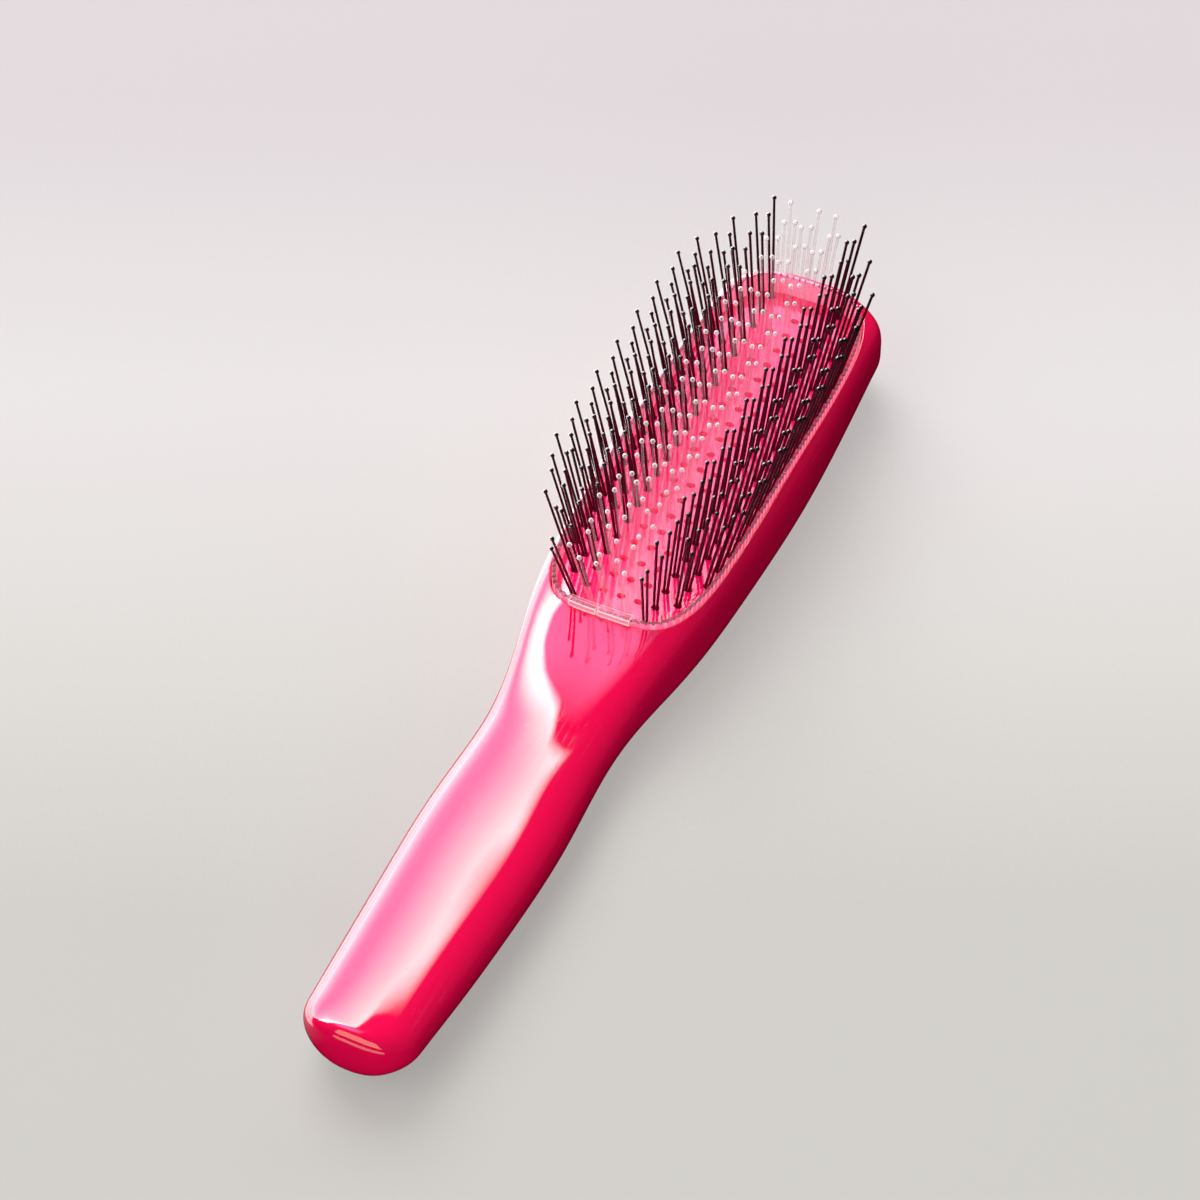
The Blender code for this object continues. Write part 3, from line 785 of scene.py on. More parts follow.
def gloss_pink(name, colour, roughness, scratches, dust, glow=0.0):
    """Glossy pink moulded plastic with faint flow, scratches and dust.

    The glow stands for light that is thrown to and fro between the walls round a sunk face.
    """
    material, tree, shader = start_material(name)
    flow = use_group(tree, "moulded_flow", Scale=28.0, Ripple=420.0)
    lines = use_group(tree, "fine_scratches", Scale=22.0, Amount=scratches)
    specks = use_group(tree, "dust_specks", Scale=800.0, Amount=dust)
    tone = mix_colours(
        tree, spread(tree, flow["Tone"], 0.35, 0.65), tinted(colour, 0.96), tinted(colour, 1.03))
    marks = arithmetic(tree, "MAXIMUM", lines["Mask"], specks["Mask"])
    pale = mix_colours(tree, multiply(tree, marks, 0.2), tone, (0.95, 0.42, 0.50, 1.0))
    gloss = arithmetic(
        tree, "ADD", vary(tree, flow["Tone"], roughness * 0.8, roughness * 1.2),
        multiply(tree, marks, 0.18), clamp=True)
    height = arithmetic(
        tree, "SUBTRACT", multiply(tree, flow["Height"], 0.10), multiply(tree, lines["Mask"], 0.6))
    add_bump(tree, shader, height, 0.25, 0.00003)
    feed(tree, shader, {"Base Color": pale, "Roughness": gloss, "IOR": 1.5})
    if glow:
        feed(tree, shader, {"Emission Color": pale, "Emission Strength": glow})
    return material


def black_pin_nylon(name, sheen, roughness):
    """Black nylon, painted maroon towards the plate: a painted reflection of the pink plate."""
    material, tree, shader = start_material(name)
    axes = split(tree, own_place(tree))
    low, high = plate().plate_top, plate().plate_top + pins().short_leg * 0.93
    fade_from_painted_reflection = arithmetic(
        tree, "ADD", spread(tree, axes["Z"], low, high),
        vary(tree, object_noise(tree, 260.0), -0.08, 0.08), clamp=True)
    # Painted reflection of the pink plate: maroon at the plate, black higher up, a little uneven
    colour = mix_colours(tree, fade_from_painted_reflection, tuple(pins().painted_foot_reflection), tuple(pins().black_nylon))
    specks = use_group(tree, "dust_specks", Scale=1400.0, Amount=0.3)
    drawn = object_noise(tree, 900.0, (1.0, 1.0, 0.12))
    grained(tree, shader, drawn, (roughness, roughness + 0.08), 0.15, 0.00002)
    feed(tree, shader, {
        "Base Color": mix_colours(tree, specks["Mask"], colour, (0.12, 0.10, 0.11, 1.0)),
        "Specular IOR Level": sheen})
    return material


def clear_film(name, colour, face_alpha, edge_alpha, roughness, grain, reach=(0.25, 0.85),
               foot=None, glow=0.0, ridges=0.0, sheen=0.5):
    """See-through plastic that shows more at its edges, with a faint haze and scuffs.

    Given a foot colour, it takes that cast towards the pin plate: a painted reflection of the pink
    plate. Below the plate's face it takes the plate's own colour, the plate painted in as if seen
    through the nylon. The glow stands for light that runs inside the plastic, and the ridges are
    pale bands at a spacing.
    """
    material, tree, shader = start_material(name)
    cloud = object_noise(tree, grain, (1.0, 1.0, 0.3))
    lines = use_group(tree, "fine_scratches", Scale=90.0, Amount=0.6)
    haze = mix_colours(tree, spread(tree, cloud, 0.35, 0.65), tinted(colour, 0.93), colour)
    if ridges:
        wave = feed(tree, add_node(tree, "ShaderNodeTexWave"), {
            "Vector": own_place(tree), "Scale": math.pi / 10 / ridges, "Distortion": 0.6,
            "Detail": 1.0})
        ridge = spread(tree, wave["Fac"], 0.45, 1.0)
        haze = mix_colours(tree, ridge, haze, tinted(colour, 1.0, 0.35))
    # Painted reflection: the foot cast and the plate's colour below its face stand for the pink
    # plate seen in and through the nylon
    if foot:
        axes, level = split(tree, own_place(tree)), plate().plate_top
        climb = spread(tree, axes["Z"], level, level + pins().short_leg)
        haze = mix_colours(tree, multiply(tree, climb, climb), foot, haze)
        sunk = spread(tree, axes["Z"], level - 0.0006, level + 0.0001)
        haze = mix_colours(tree, sunk, tuple(plate().plate_pink), haze)
    gloss = arithmetic(
        tree, "ADD", vary(tree, cloud, roughness * 0.6, roughness * 1.4),
        multiply(tree, lines["Mask"], 0.3), clamp=True)
    facing = feed(tree, add_node(tree, "ShaderNodeLayerWeight"), {"Blend": 0.5})["Facing"]
    alpha = arithmetic(
        tree, "ADD", spread(tree, facing, *reach, face_alpha, edge_alpha),
        vary(tree, cloud, -0.03, 0.03), clamp=True)
    add_bump(tree, shader, cloud, 0.15, 0.00002)
    feed(tree, shader, {
        "Base Color": haze, "Roughness": gloss, "Alpha": alpha, "IOR": 1.5,
        "Specular IOR Level": sheen})
    if glow:
        feed(tree, shader, {"Emission Color": haze, "Emission Strength": glow})
    return material


def notch_painted_shade():
    """Dark rough faces inside the strip's notches: painted shade in the notches."""
    colour = tuple(trim().notch_shade_grey)
    material, tree, shader = start_material("notch_painted_shade")
    cloud = object_noise(tree, 700.0)
    grained(tree, shader, cloud, (0.25, 0.45), 0.1, 0.00003)
    tone = spread(tree, cloud, 0.35, 0.65)
    feed(tree, shader, {
        "Base Color": mix_colours(tree, tone, tinted(colour, 0.6), tinted(colour, 1.6)),
        "Alpha": vary(tree, cloud, 0.60, 0.80), "Specular IOR Level": 0.15})
    return material


def carrier_board():
    """Matt pink board with a fine sandy grain."""
    colour = tuple(plate().carrier_pink)
    material, tree, shader = start_material("carrier_pink")
    flow = use_group(tree, "moulded_flow", Scale=40.0, Ripple=900.0)
    grained(tree, shader, object_noise(tree, 1500.0), (0.38, 0.55), 0.3, 0.00005)
    tone = vary(tree, flow["Tone"])
    feed(tree, shader, {"Base Color": mix_colours(tree, tone, tinted(colour, 0.85), colour)})
    return material


def anchor_steel():
    """Drawn steel wire, brighter where it is rubbed."""
    material, tree, shader = start_material("wire_steel")
    drawn = object_noise(tree, 1200.0, (0.1, 1.0, 1.0))
    grained(tree, shader, drawn, (0.22, 0.38), 0.2, 0.00002)
    rubbed = mix_colours(
        tree, vary(tree, drawn), (0.42, 0.42, 0.44, 1.0), (0.66, 0.66, 0.67, 1.0))
    feed(tree, shader, {"Base Color": rubbed, "Metallic": 1.0})
    return material


def place_piece(piece, material_slot, *nodes):
    """Ride on the brush's body and stand for CAD nodes, which are hidden. The finish's slot is not
    used.
    """
    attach(piece, "root")
    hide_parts(*nodes)


# Pins and holes


def column_holes(column):
    """Plan places of the holes in one lengthwise column, from the handle's side on."""
    pitch = pins().row_pitch
    count = int(plate().opening_length / pitch) + 2
    shift = 0.5 if abs(column) == STAGGERED_COLUMN else 0.0
    inset = trim().strip_thickness + 2 * plate().clearance + pins().edge_margin
    holes = []
    for row in range(-count, count + 1):
        x = opening_middle() + (row + shift) * pitch
        room = opening_half_width(x, inset)
        y = column * pins().column_pitch
        if abs(column) == SIDE_COLUMNS:
            y = math.copysign(min(abs(y), room), column)
            inner = (SIDE_COLUMNS - 0.5) * pins().column_pitch + plate().clearance
            if abs(y) < inner + (pins().leg_spacing + pins().pin_diameter) / 2:
                continue
        if 0.0 < room and abs(y) <= room:
            holes.append((x, y))
    return holes


def pin_lean(x, y):
    """Angles at which a pin leans along and across: the outer pins fan outwards."""
    inset = trim().strip_thickness + 2 * plate().clearance
    start = opening_middle() - plate().opening_length / 2 + inset
    end = opening_middle() + plate().opening_length / 2 - inset
    near = max(1 - (x - start) / pins().fan_reach, 0.0)
    far = max(1 - (end - x) / pins().fan_reach, 0.0)
    along = pins().far_lean * far * far - pins().near_lean * near * near
    across = pins().side_lean * y / (SIDE_COLUMNS * pins().column_pitch)
    return along, across


def column_name(column):
    side = COLUMN_SIDES[column > 0]
    if column == 0:
        return "clear", "middle"
    if abs(column) <= CLEAR_COLUMNS:
        return "clear", side
    return "black", side + "_" + COLUMN_NAMES[abs(column)]


def wire_path(column, reach):
    """Plan places that a column's anchor wire runs through, drawn out at its ends."""
    holes = [Vector(hole) for hole in column_holes(column)]
    if abs(column) < SIDE_COLUMNS:
        holes = [holes[0], holes[-1]]
    first = holes[0] + (holes[0] - holes[1]).normalized() * reach
    last = holes[-1] + (holes[-1] - holes[-2]).normalized() * reach
    return [first] + holes[1:-1] + [last]


def add_folded_pin():
    """One pin, upright: down the long leg, round the wire's place and up the short leg.

    The legs are modelled well apart, so that each is easy to lean on its own, and Z is
    measured from the plate's face along the leg.
    """
    ball, thin = pins().ball_diameter / 2, pins().pin_diameter / 2
    apart = pins().leg_spacing / 2
    fold = bottom_of_plate() - plate().plate_top + FOLD_HEIGHT

    def leg(length, side):
        out, middle = side * (apart + LEG_STAND), length - ball
        rows = []
        for turn in BALL_TURNS:
            angle = math.radians(turn)
            rows.append((out, middle + ball * math.cos(angle), ball * math.sin(angle), 0.0))
        rows.append((out, 0.0, thin, 0.0))
        for rise, shift, tilt in zip(FOLD_RISES, FOLD_OUTS, (0, FOLD_TILT)):
            rows.append((side * (apart + shift), fold + rise, thin, math.radians(tilt)))
        return rows

    down = leg(pins().long_leg, 1) + [(0.0, fold, thin, math.radians(90))]
    rings = []
    for index, (y, z, radius, tilt) in enumerate(down + leg(pins().short_leg, -1)[::-1]):
        turn = tilt if index < len(down) else math.pi - tilt
        ring = []
        for side in range(PIN_SIDES):
            angle = 2 * math.pi * (side + 0.5) / PIN_SIDES
            x, out = radius * math.cos(angle), radius * math.sin(angle)
            ring.append((x, y + out * math.cos(turn), z + out * math.sin(turn)))
        rings.append(ring)
    return add_ring_form("folded_pin", rings)


def lean_pin(piece, x, y, long_side):
    """Set a copy of the pin in its hole, with its legs leant outwards."""
    along, across = pin_lean(x, y)
    aims = {}
    for side in (-1, 1):
        lean = across + side * pins().leg_splay
        aims[side] = Vector((math.tan(along), math.tan(lean), 1.0)).normalized()
    foot = Vector((to_frame(x), y, plate().plate_top))
    apart = pins().leg_spacing / 2
    for point in piece.data.vertices:
        spot = point.co.copy()
        spot.y *= long_side
        if spot.z <= -SPLIT_BAND:
            point.co = foot + spot
            continue
        side = 1 if spot.y > 0 else -1
        aim = aims[side]
        flat = Vector((spot.x, spot.y - side * (apart + LEG_STAND), 0.0))
        if spot.z > SPLIT_BAND:
            flat -= aim * flat.dot(aim)
        point.co = foot + Vector((0.0, side * apart, 0.0)) + aim * spot.z + flat


# Operators, one for each piece or group of like pieces


class BRUSH_OT_shells(bpy.types.Operator):
    """Model the front and the back shell with their lip, pegs, sockets and posts."""

    bl_idname = "brush.shells"
    bl_label = "Brush Shells"

    def peg_places(self):
        places = [share * handle_length() for share in HANDLE_PEG_SHARES]
        places.append(handle_length() + SHOULDER_PEG_SHARE * body().shoulder_length)
        return places

    def half_body(self, name, cavity, upper):
        """One half of the body, hollowed and closed along the seam."""
        piece = add_body_form(name, 0.0, body().body_sides, body().body_rows)
        boolean(piece, cavity)
        side = 1 if upper else -1
        size = 2 * body().brush_length
        height = body().seam_height + side * (body().seam_gap - size) / 2
        clear_selection()
        bpy.ops.mesh.primitive_cube_add(size=size, location=(0.0, 0.0, height))
        return boolean(piece, named("other_half"))

    def shell_floor(self, place):
        """A height inside the back shell's wall."""
        return body_sizes(place)[2] + body().foot_sink + body().shell_wall / 2

    def make_front(self, material):
        cavity = add_body_form("front_cavity", body().shell_wall, CAVITY_SIDES, CAVITY_ROWS)
        high = body().head_height + OVERRUN
        wall = -plate().collar_wall
        boolean(cavity, add_ring_form("collar_block", outline_rings(
            ((wall, top_of_posts()), (wall, high)), COLLAR_POINTS)))
        shell = self.half_body("shell_front", cavity, True)
        lip = body().rim_rounding

        def lifted(rise):
            return lambda place, y: surface_height(place, y) + rise

        levels = [(0.0, top_of_posts() - COLLAR_OVERRUN), (0.0, lifted(-lip))]
        for turn in LIP_TURNS:
            angle = math.radians(turn)
            levels.append((-lip * (1 - math.cos(angle)), lifted(-lip + lip * math.sin(angle))))
        levels += [(-lip * LIP_FLARE, lifted(LIP_RISE)), (-lip * LIP_FLARE, high)]
        boolean(shell, add_ring_form("opening_cutter", outline_rings(levels, RIM_POINTS)))
        low = body().seam_height - PEG_LENGTH
        pegs = [add_bar("peg", place, 0.0, PEG_RADIUS, low,
                        body_sizes(place)[1] - body().shell_wall / 2)
                for place in self.peg_places()]
        boolean(shell, join("pegs", pegs), "UNION")
        self.finish_shell(shell, material, "front_shell")

    def make_back(self, material):
        cavity = add_body_form("back_cavity", body().shell_wall, CAVITY_SIDES, CAVITY_ROWS)
        shell = self.half_body("shell_back", cavity, False)
        seam = body().seam_height - body().seam_gap / 2
        low = body().seam_height - BORE_DEPTH
        bars, studs, bores = [], [], []
        for place in self.peg_places():
            floor = self.shell_floor(place)
            bars.append(add_bar("socket", place, 0.0, SOCKET_RADIUS, floor, seam - SOCKET_DROP))
            bores.append(add_bar("socket_cutter", place, 0.0, BORE_RADIUS, low, seam + OVERRUN))
        side = opening_width() / 4
        for share in HEAD_POST_SHARES:
            place = opening_middle() + share * plate().opening_length / 2
            floor = self.shell_floor(place)
            for y in (-side, side):
                bars.append(add_bar("post", place, y, POST_RADIUS, floor, top_of_posts()))
                studs.append(add_bar("stud", place, y, STUD_RADIUS, floor + body().shell_wall,
                                     top_of_carrier()))
        boolean(shell, join("posts", bars), "UNION")
        boolean(shell, join("studs", studs), "UNION")
        boolean(shell, join("socket_cutters", bores))
        self.finish_shell(shell, material, "back_shell")

    def finish_shell(self, shell, material, node):
        mend_cuts(shell)
        dress(shell, material)
        smooth(shell, 35)
        place_piece(shell, "shell_pink", node)

    def execute(self, context):
        material = gloss_pink("shell_pink", tuple(body().shell_pink), 0.04, 0.45, 0.4)
        self.make_front(material)
        self.make_back(material)
        return {"FINISHED"}


class BRUSH_OT_plate(bpy.types.Operator):
    """Model the pin plate with its pin holes and the wire grooves in its back."""

    bl_idname = "brush.plate"
    bl_label = "Pin Plate"

    def hole_cutters(self):
        """Cut each hole with a flared oval bar: one is modelled and the others are copies."""
        half_length, half_width = plate().hole_length / 2, plate().hole_width / 2
        levels = [(bottom_of_plate() - SHORT_OVERRUN, 0.0)]
        levels += [(plate().plate_top + rise, share * plate().mouth_flare)
                   for rise, share in HOLE_LEVELS]
        rings = []
        for z, grow in levels:
            ring = []
            for side in range(HOLE_SIDES):
                angle = 2 * math.pi * side / HOLE_SIDES
                out = math.copysign(abs(math.sin(angle)) ** HOLE_SQUARENESS, math.sin(angle))
                ring.append(((half_width + grow) * math.cos(angle),
                             (half_length + LENGTHWISE_FLARE * grow) * out, z))
            rings.append(ring)
        source = add_ring_form("hole_cutter", rings)
        cutters = []
        for column in COLUMNS:
            for x, y in column_holes(column):
                copy = link_new("hole_cutter", source.data.copy())
                for point in copy.data.vertices:
                    point.co.x += to_frame(x)
                    point.co.y += y
                cutters.append(copy)
        bpy.data.objects.remove(source)
        return join("hole_cutters", cutters)

    def execute(self, context):
        inset, top, low = plate().plate_inset, plate().plate_top, bottom_of_plate()
        soft, near = PLATE_SOFT, PLATE_SOFT * 0.3
        levels = (
            (inset, low), (inset, top - soft), (inset + near, top - near), (inset + soft, top))
        piece = add_ring_form("pin_plate", outline_rings(levels, PLATE_POINTS))
        boolean(piece, self.hole_cutters())
        half = pins().wire_diameter / 2 + plate().clearance
        reach = pins().wire_diameter + plate().clearance
        grooves = [swept_bar("groove", wire_path(column, reach), half, low - OVERRUN,
                             low + plate().groove_depth) for column in COLUMNS]
        boolean(piece, join("grooves", grooves))
        mend_cuts(piece)
        # The plate's glow is painted light, standing for light thrown to and fro between the walls
        # round the sunk plate
        dress(piece, gloss_pink("plate_pink", tuple(plate().plate_pink), 0.09, 0.4, 0.8, glow=0.24))
        smooth(piece, 30)
        nodes = ["_pins_".join(column_name(column)) for column in COLUMNS]
        place_piece(piece, "shell_pink", *nodes)
        return {"FINISHED"}


class BRUSH_OT_pins(bpy.types.Operator):
    """Model one folded pin and copy it into every hole, a piece for each column."""

    bl_idname = "brush.pins"
    bl_label = "Pins"

    def execute(self, context):
        materials = {
            "black": (black_pin_nylon("black_nylon", 0.12, 0.16),
                      black_pin_nylon("black_ball", 0.9, 0.06)),
            "clear": (clear_film("clear_nylon", tuple(pins().clear_grey), 0.06, 0.36, 0.08, 800.0,
                                 foot=tuple(pins().clear_painted_plate_cast)),
                      clear_film("clear_ball", tuple(pins().clear_ball), 0.20, 0.95, 0.10, 900.0,
                                 reach=(0.10, 0.45)))}
        source = add_folded_pin()
        for column in COLUMNS:
            colour, place = column_name(column)
            dress(source, *materials[colour])
            for face in source.data.polygons:
                length = pins().long_leg if face.center.y > 0 else pins().short_leg
                face.material_index = int(face.center.z > length - pins().ball_diameter)
            copies = []
            for row, (x, y) in enumerate(column_holes(column)):
                copies.append(link_new("folded_pin", source.data.copy()))
                lean_pin(copies[-1], x, y, 1 if (row + column) % 2 else -1)
            piece = join("filaments_" + colour + "_" + place, copies)
            turn_outwards(piece)
            smooth(piece, 60)
            place_piece(piece, colour + "_nylon", colour + "_pins_" + place)
            piece.visible_shadow = colour == "black" and place not in ("left_inner", "left_middle")
        bpy.data.objects.remove(source)
        return {"FINISHED"}


class BRUSH_OT_strip(bpy.types.Operator):
    """Model the clear strip round the plate with the notches in its top."""

    bl_idname = "brush.strip"
    bl_label = "Edge Strip"

    def strip_ring(self, angle, dip):
        """Corners of the strip's section at an angle, with its top sunk by a dip."""
        inset, soft = plate().clearance, STRIP_SOFT
        far = inset + trim().strip_thickness
        low = top_of_carrier() + plate().clearance
        high = surface_height(*opening_point(angle, 0.0)) + trim().strip_stand - dip
        ring = []
        for depth, z in ((inset, low), (inset, high - soft), (inset + soft, high),
                         (far - soft, high), (far, high - soft), (far, low)):
            place, across = opening_point(angle, depth)
            ring.append((to_frame(place), across, z))
        return ring

    def execute(self, context):
        length = even_angles(STRIP_POINTS)[1]
        notches = round(length / trim().notch_pitch)
        half = trim().notch_length / 2 / (length / notches)
        fine = even_angles(notches)[0]
        fine.append(fine[0] + 2 * math.pi)
        rings = []
        for start, end in zip(fine, fine[1:]):
            for share in [0.0] + [0.5 + step * half for step in NOTCH_STEPS]:
                out = min(abs(share - 0.5) / half, 1.0)
                dip = trim().notch_depth * (1 - out * out) ** 0.5
                rings.append(self.strip_ring(start + (end - start) * share, dip))
        piece = add_ring_form("clear_strip", rings, round_trip=True)
        colour, pitch = tuple(trim().clear_vinyl), trim().notch_pitch
        # The strip's top is paler and less see-through than its sides: a painted highlight where
        # light falls on it
        dress(piece,
              clear_film("vinyl_side", colour, 0.60, 0.85, 0.12, 500.0, glow=0.34, ridges=pitch),
              notch_painted_shade(),
              clear_film("vinyl_painted_lit_top", tinted(colour, 1.0, 0.10), 0.80, 0.92, 0.12, 500.0,
                         glow=0.26, ridges=pitch))
        for face in piece.data.polygons:
            place = face.center.x + (handle_length() + REST_SHARE * head_length())
            rim = surface_height(
                min(place, body().brush_length - plate().opening_lip), face.center.y)
            if abs(face.normal.z) > LEVEL_FACE and face.center.z > rim:
                # Faces in a notch's dip take painted shade, the rest of the top a painted highlight
                dipped = face.center.z < rim + trim().strip_stand - STRIP_SOFT
                face.material_index = 1 if dipped else 2
        smooth(piece, 30)
        place_piece(piece, "clear_vinyl", "edge_strip")
        return {"FINISHED"}


class BRUSH_OT_sleeves(bpy.types.Operator):
    """Model the two clear sleeves that overlap over the strip's joint."""

    bl_idname = "brush.sleeves"
    bl_label = "Strip Sleeves"

    def make_sleeve(self, name, node, start, end, materials):
        near = opening_middle() - plate().opening_length / 2
        gap, wall = trim().sleeve_gap, trim().sleeve_wall
        rim = surface_height(near, 0.0)
        inner = plate().clearance + trim().strip_thickness + gap
        roof = rim + trim().strip_stand + gap
        foot = max(surface_height(near - gap - wall, 0.0), rim - trim().sleeve_drop) + gap
        floor = plate().plate_top + gap
        profile = (
            (-gap - wall, foot), (-gap - wall, roof + wall), (inner + wall, roof + wall),
            (inner + wall, floor), (inner, floor), (inner, roof), (-gap, roof), (-gap, foot))
        rings = []
        for step in range(SLEEVE_STEPS + 1):
            y = start + (end - start) * step / SLEEVE_STEPS
            edge = opening_near_edge(y, 0.0)
            rings.append([(to_frame(edge + out), y, z) for out, z in profile])
        piece = add_ring_form(name, rings)
        bevel(piece, SLEEVE_SOFT)
        dress(piece, *materials)
        for face in piece.data.polygons:
            # Bevelled and tiny faces take the cream film: a painted highlight along the sleeves'
            # edges
            if max(abs(part) for part in face.normal) < SQUARE_FACE or face.area < SMALL_FACE:
                face.material_index = 2
            # Level tops take the paler film: a painted highlight where light falls on them
            elif face.normal.z > SQUARE_FACE:
                face.material_index = 1
        smooth(piece, 30)
        place_piece(piece, "clear_vinyl", node)

    def execute(self, context):
        colour = tuple(trim().clear_vinyl)
        materials = (
            clear_film("sleeve_side", tinted(colour, 1.0, 0.15), 0.12, 0.40, 0.07, 500.0,
                       glow=0.2, sheen=0.15),
            clear_film("sleeve_painted_lit_top", tinted(colour, 0.8, 0.30), 0.10, 0.40, 0.12, 500.0,
                       glow=0.15, sheen=0.1),
            clear_film("sleeve_painted_edge_highlight", tuple(trim().sleeve_highlight_cream), 0.80, 0.95, 0.10, 500.0,
                       glow=0.3))
        joint, gap = JOINT_SHARE * opening_width(), JOINT_GAP / 2
        self.make_sleeve("sleeve_short", "strip_sleeve_short", joint + gap,
                         joint + trim().short_sleeve, materials)
        self.make_sleeve("sleeve_long", "strip_sleeve_long", joint - trim().long_sleeve,
                         joint - gap, materials)
        return {"FINISHED"}


class BRUSH_OT_inner_parts(bpy.types.Operator):
    """Give the carrier board and the anchor wires their finishes."""

    bl_idname = "brush.inner_parts"
    bl_label = "Inner Parts"

    def execute(self, context):
        board, steel = carrier_board(), anchor_steel()
        for name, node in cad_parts.items():
            if name == "plate_carrier":
                dress(node, board)
            elif name.startswith("anchor_wire"):
                dress(node, steel)
        return {"FINISHED"}


class BRUSH_OT_stage(bpy.types.Operator):
    """Lay the pale floor, hang the lamps and set up the camera."""

    bl_idname = "brush.stage"
    bl_label = "Stage"

    def make_floor(self, stage):
        clear_selection()
        bpy.ops.mesh.primitive_plane_add(size=6.0, location=(0.0, 0.0, 0.0))
        floor = named("stage_floor")
        for point in floor.data.vertices:
            point.co.z = -FLOOR_DROP
        material, tree, shader = start_material("floor_paper")
        turned = split(tree, mapped(tree, turn=(0.0, 0.0, math.radians(-25.17))))
        grain = vary(tree, object_noise(tree, 900.0), -0.004, 0.004)
        away = arithmetic(tree, "ADD", turned["X"], grain)
        paper = tuple(stage.floor_near)
        for low, high, tone in ((-0.086, -0.018, stage.floor_middle),
                                (-0.018, 0.049, stage.floor_bright), (0.06, 0.15, stage.floor_far)):
            paper = mix_colours(tree, spread(tree, away, low, high), paper, tuple(tone))
        # In reflections the floor is painted black, painted shade, save a pale part on the brush's
        # +Y side that starts about the handle's end
        spots = split(tree, own_place(tree))
        pale_in_reflection = multiply(tree, spread(tree, spots["Y"], 0.012, 0.030),
                       spread(tree, spots["X"], -0.16, -0.14))
        path = add_node(tree, "ShaderNodeLightPath").outputs
        gloss = path["Is Glossy Ray"]
        seen = arithmetic(tree, "MAXIMUM", path["Is Camera Ray"], gloss)
        seen = arithmetic(tree, "MAXIMUM", seen, path["Is Transmission Ray"])
        painted_dark_in_reflection = multiply(tree, gloss, arithmetic(tree, "SUBTRACT", 1.0, pale_in_reflection))
        matt = mix_colours(tree, 0.385, BLACK, paper)
        # Rays that carry bounce light onto the brush see a nearly black floor: painted shade for
        # the brush's lower faces
        base = mix_colours(tree, seen, tinted(stage.floor_near, 0.07), matt)
        glow = mix_colours(tree, seen, BLACK, paper)
        feed(tree, shader, {
            "Base Color": mix_colours(tree, painted_dark_in_reflection, base, BLACK),
            "Emission Color": mix_colours(tree, painted_dark_in_reflection, glow, BLACK),
            "Emission Strength": 0.52, "Roughness": 0.9, "Specular IOR Level": 0.0})
        floor.data.materials.append(material)

    def face_back(self, thing, back):
        """Turn a lamp or the camera so that its back looks in a direction."""
        thing.rotation_mode = "QUATERNION"
        thing.rotation_quaternion = back.to_track_quat("Z", "Y")

    def add_lamp(self, name, azimuth, elevation, distance, width, height, radiance, colour):
        """An area lamp of a plain radiance that faces the brush from a direction."""
        light = bpy.data.lights.new(name, "AREA")
        light.shape = "RECTANGLE"
        light.size, light.size_y = width, height
        light.energy = radiance * math.pi * width * height
        light.color = colour
        lamp = link_new(name, light)
        turn, rise = math.radians(azimuth), math.radians(elevation)
        away = Vector((
            math.cos(turn) * math.cos(rise), math.sin(turn) * math.cos(rise), math.sin(rise)))
        lamp.location = away * distance
        self.face_back(lamp, away)
        return lamp

    def lamp_face(self, lamp):
        """A lamp's own shader tree, and the places on its face from 0 to 1."""
        lamp.data.use_nodes = True
        tree = lamp.data.node_tree
        return tree, split(tree, add_node(tree, "ShaderNodeNewGeometry").outputs["Parametric"])

    def shape_panel(self, lamp):
        """Grade the main panel from its middle to its upper edge, which runs aslant."""
        tree, axes = self.lamp_face(lamp)
        x, y = axes["X"], axes["Y"]
        bend = arithmetic(tree, "MINIMUM", arithmetic(tree, "SUBTRACT", x, 0.39), 0.0)
        rise = arithmetic(tree, "ADD", y, multiply(tree, bend, 0.9))
        slant = multiply(tree, arithmetic(tree, "SUBTRACT", x, 0.55), 0.6)
        upper = spread(tree, arithmetic(tree, "ADD", y, slant), 0.48, 0.70)
        upper = multiply(tree, upper, upper)
        grade = multiply(tree, spread(tree, upper, 0.0, 1.0, 6.2, 23.0),
                         spread(tree, y, 0.0, 0.16, 0.68, 1.0))
        tilt = arithmetic(tree, "MAXIMUM", arithmetic(tree, "SUBTRACT", y, 0.84), -0.12)
        far = arithmetic(tree, "ADD", x, multiply(tree, tilt, 0.6))
        within = multiply(tree, spread(tree, rise, 0.753, 0.786, 1.0, 0.0),
                          spread(tree, far, 0.252, 0.300))
        low = mix_colours(
            tree, spread(tree, y, 0.20, 0.43), (1.6, 1.52, 1.6, 1.0), (1.0, 0.61, 1.0, 1.0))
        cream = spread(tree, upper, 0.0, 0.5)
        feed(tree, tree.nodes["Emission"], {
            "Strength": multiply(tree, grade, within),
            "Color": mix_colours(tree, cream, low, (1.0, 0.97, 0.92, 1.0))})

    def fade_panel(self, lamp, strength):
        """Let a panel fade out from its middle to its frame."""
        tree, axes = self.lamp_face(lamp)
        fades = []
        for label in "XY":
            off = arithmetic(tree, "ABSOLUTE", arithmetic(tree, "SUBTRACT", axes[label], 0.5))
            fades.append(spread(tree, off, 0.15, 0.5, 1.0, 0.0))
        feed(tree, tree.nodes["Emission"], {
            "Strength": multiply(tree, multiply(tree, *fades), strength)})

    def set_card(self, name, centre, facing, width, height, radiance, colour):
        """A small panel set close to the brush, which only gloss shows."""
        card = self.add_lamp(name, 0.0, 0.0, 1.0, width, height, radiance, colour)
        card.location = centre
        self.face_back(card, -Vector(facing))
        card.visible_diffuse = False
        card.visible_camera = False

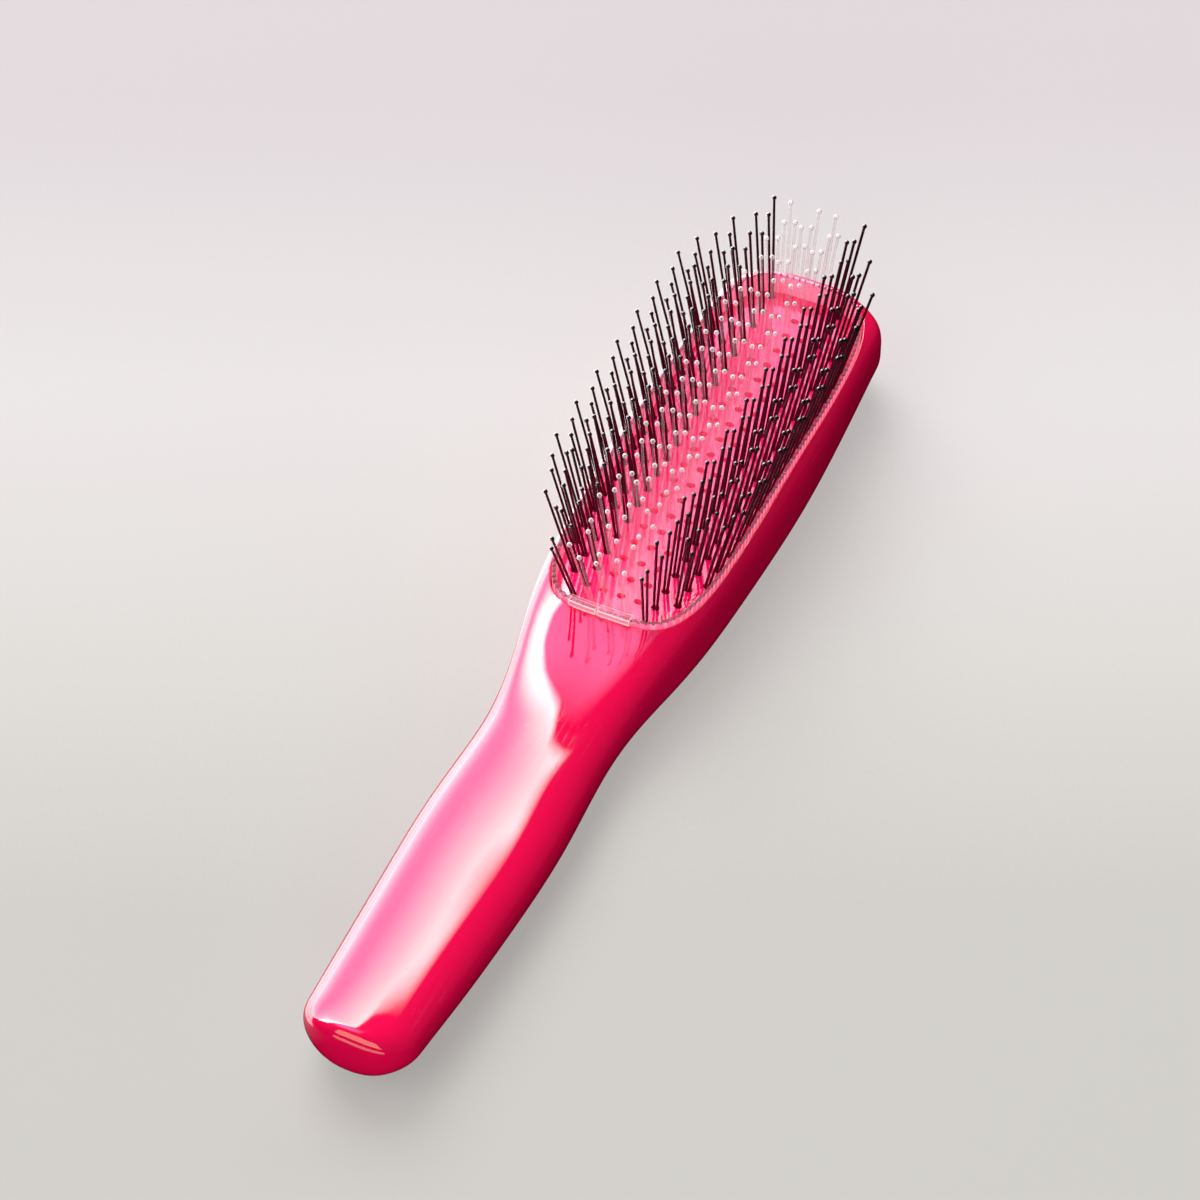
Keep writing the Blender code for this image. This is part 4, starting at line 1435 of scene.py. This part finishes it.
    def make_camera(self, stage):
        turn, rise = stage.camera_azimuth, stage.camera_elevation
        back = Vector((
            math.sin(turn) * math.cos(rise), -math.cos(turn) * math.cos(rise), math.sin(rise)))
        right = Vector((0.0, 0.0, 1.0)).cross(back).normalized()
        up = back.cross(right)
        data = bpy.data.cameras.new("camera")
        data.lens = stage.camera_lens
        data.sensor_width = 36.0
        data.clip_start, data.clip_end = 0.01, 20.0
        camera = link_new("camera", data)
        aim = Vector((-0.03283, 0.0, 0.010))
        camera.location = aim + back * stage.camera_distance + right * 0.00074 + up * 0.0115
        self.face_back(camera, back)
        bpy.context.scene.camera = camera

    def execute(self, context):
        stage = context.scene.brush_stage
        self.make_floor(stage)
        for name, azimuth, elevation, width, height, radiance in (
                ("key_soft", 45.0, 45.0, 2.4, 2.2, 5.75), ("end_fill", 150.0, 45.0, 2.6, 1.6, 2.7),
                ("low_fill", 200.0, 9.0, 2.0, 0.8, 6.4), ("side_fill", 262.0, 9.0, 2.0, 0.8, 2.1),
                ("top_fill", 90.0, 76.0, 2.0, 2.0, 1.6), ("tip_fill", -8.0, 28.0, 1.8, 1.2, 2.6)):
            lamp = self.add_lamp(
                name, azimuth, elevation, 3.0, width, height, radiance, (1.0, 0.985, 0.98))
            lamp.visible_glossy = False
        panel = self.add_lamp("gloss_panel", 42.0, 33.0, 4.0, 11.0, 7.2, 1.0, WHITE)
        panel.visible_diffuse = False
        self.shape_panel(panel)
        top = self.add_lamp("gloss_top", 84.0, 70.0, 4.0, 4.2, 3.6, 1.0, (0.87, 0.52, 1.0))
        top.visible_diffuse = False
        self.fade_panel(top, 7.4)
        up, ahead = (0.0, 0.0, 1.0), (1.0, 0.0, 0.0)
        pale, warm = (1.0, 0.96, 0.97), (1.0, 0.95, 0.60)
        for card in (("near_card", (0.525, 0.050, 0.0003), up, 1.35, 0.040, 3.6, pale),
                     ("low_card", (0.525, 0.570, 0.0003), up, 1.35, 1.0, 6.2, pale),
                     ("arc_upper", (-0.167, -0.0045, 0.0230), ahead, 0.043, 0.0200, 4.6, warm),
                     ("arc_lower", (-0.167, -0.0045, 0.0036), ahead, 0.043, 0.0056, 3.2, warm)):
            self.set_card(*card)
        world = bpy.data.worlds.new("studio_air")
        world.use_nodes = True
        tree = world.node_tree
        feed(tree, tree.nodes["Background"], {"Color": (1.0, 0.98, 0.98, 1.0), "Strength": 0.04})
        context.scene.world = world
        context.scene.view_settings.view_transform = "Standard"
        self.make_camera(stage)
        return {"FINISHED"}


class BRUSH_PT_panel(bpy.types.Panel):
    """Lists the brush's pieces and their settings."""

    bl_idname = "BRUSH_PT_panel"
    bl_label = "Grooming Brush"
    bl_space_type = "VIEW_3D"
    bl_region_type = "UI"
    bl_category = "Brush"

    def draw(self, context):
        for operator, settings in STEPS:
            box = self.layout.box()
            box.operator(operator)
            if settings:
                group = getattr(context.scene, settings)
                for label in group.bl_rna.properties.keys():
                    if label not in {"rna_type", "name"}:
                        box.prop(group, label)


STEPS = (
    ("brush.shells", "brush_body"),
    ("brush.plate", "brush_plate"),
    ("brush.pins", "brush_pins"),
    ("brush.strip", "brush_trim"),
    ("brush.sleeves", None),
    ("brush.inner_parts", None),
    ("brush.stage", "brush_stage"),
)
SETTINGS = (
    ("brush_body", BrushBodySettings),
    ("brush_plate", BrushPlateSettings),
    ("brush_pins", BrushPinSettings),
    ("brush_trim", BrushTrimSettings),
    ("brush_stage", BrushStageSettings),
)
CLASSES = tuple(group for label, group in SETTINGS) + (
    BRUSH_OT_shells, BRUSH_OT_plate, BRUSH_OT_pins, BRUSH_OT_strip, BRUSH_OT_sleeves,
    BRUSH_OT_inner_parts, BRUSH_OT_stage, BRUSH_PT_panel)


def register():
    for kind in CLASSES:
        bpy.utils.register_class(kind)
    for label, group in SETTINGS:
        setattr(bpy.types.Scene, label, PointerProperty(type=group))


def unregister():
    for label, group in reversed(SETTINGS):
        delattr(bpy.types.Scene, label)
    for kind in reversed(CLASSES):
        bpy.utils.unregister_class(kind)


def main():
    register()
    bpy.ops.brush.shells()
    bpy.ops.brush.plate()
    bpy.ops.brush.pins()
    bpy.ops.brush.strip()
    bpy.ops.brush.sleeves()
    bpy.ops.brush.inner_parts()
    bpy.ops.brush.stage()


if __name__ == "__main__":
    main()
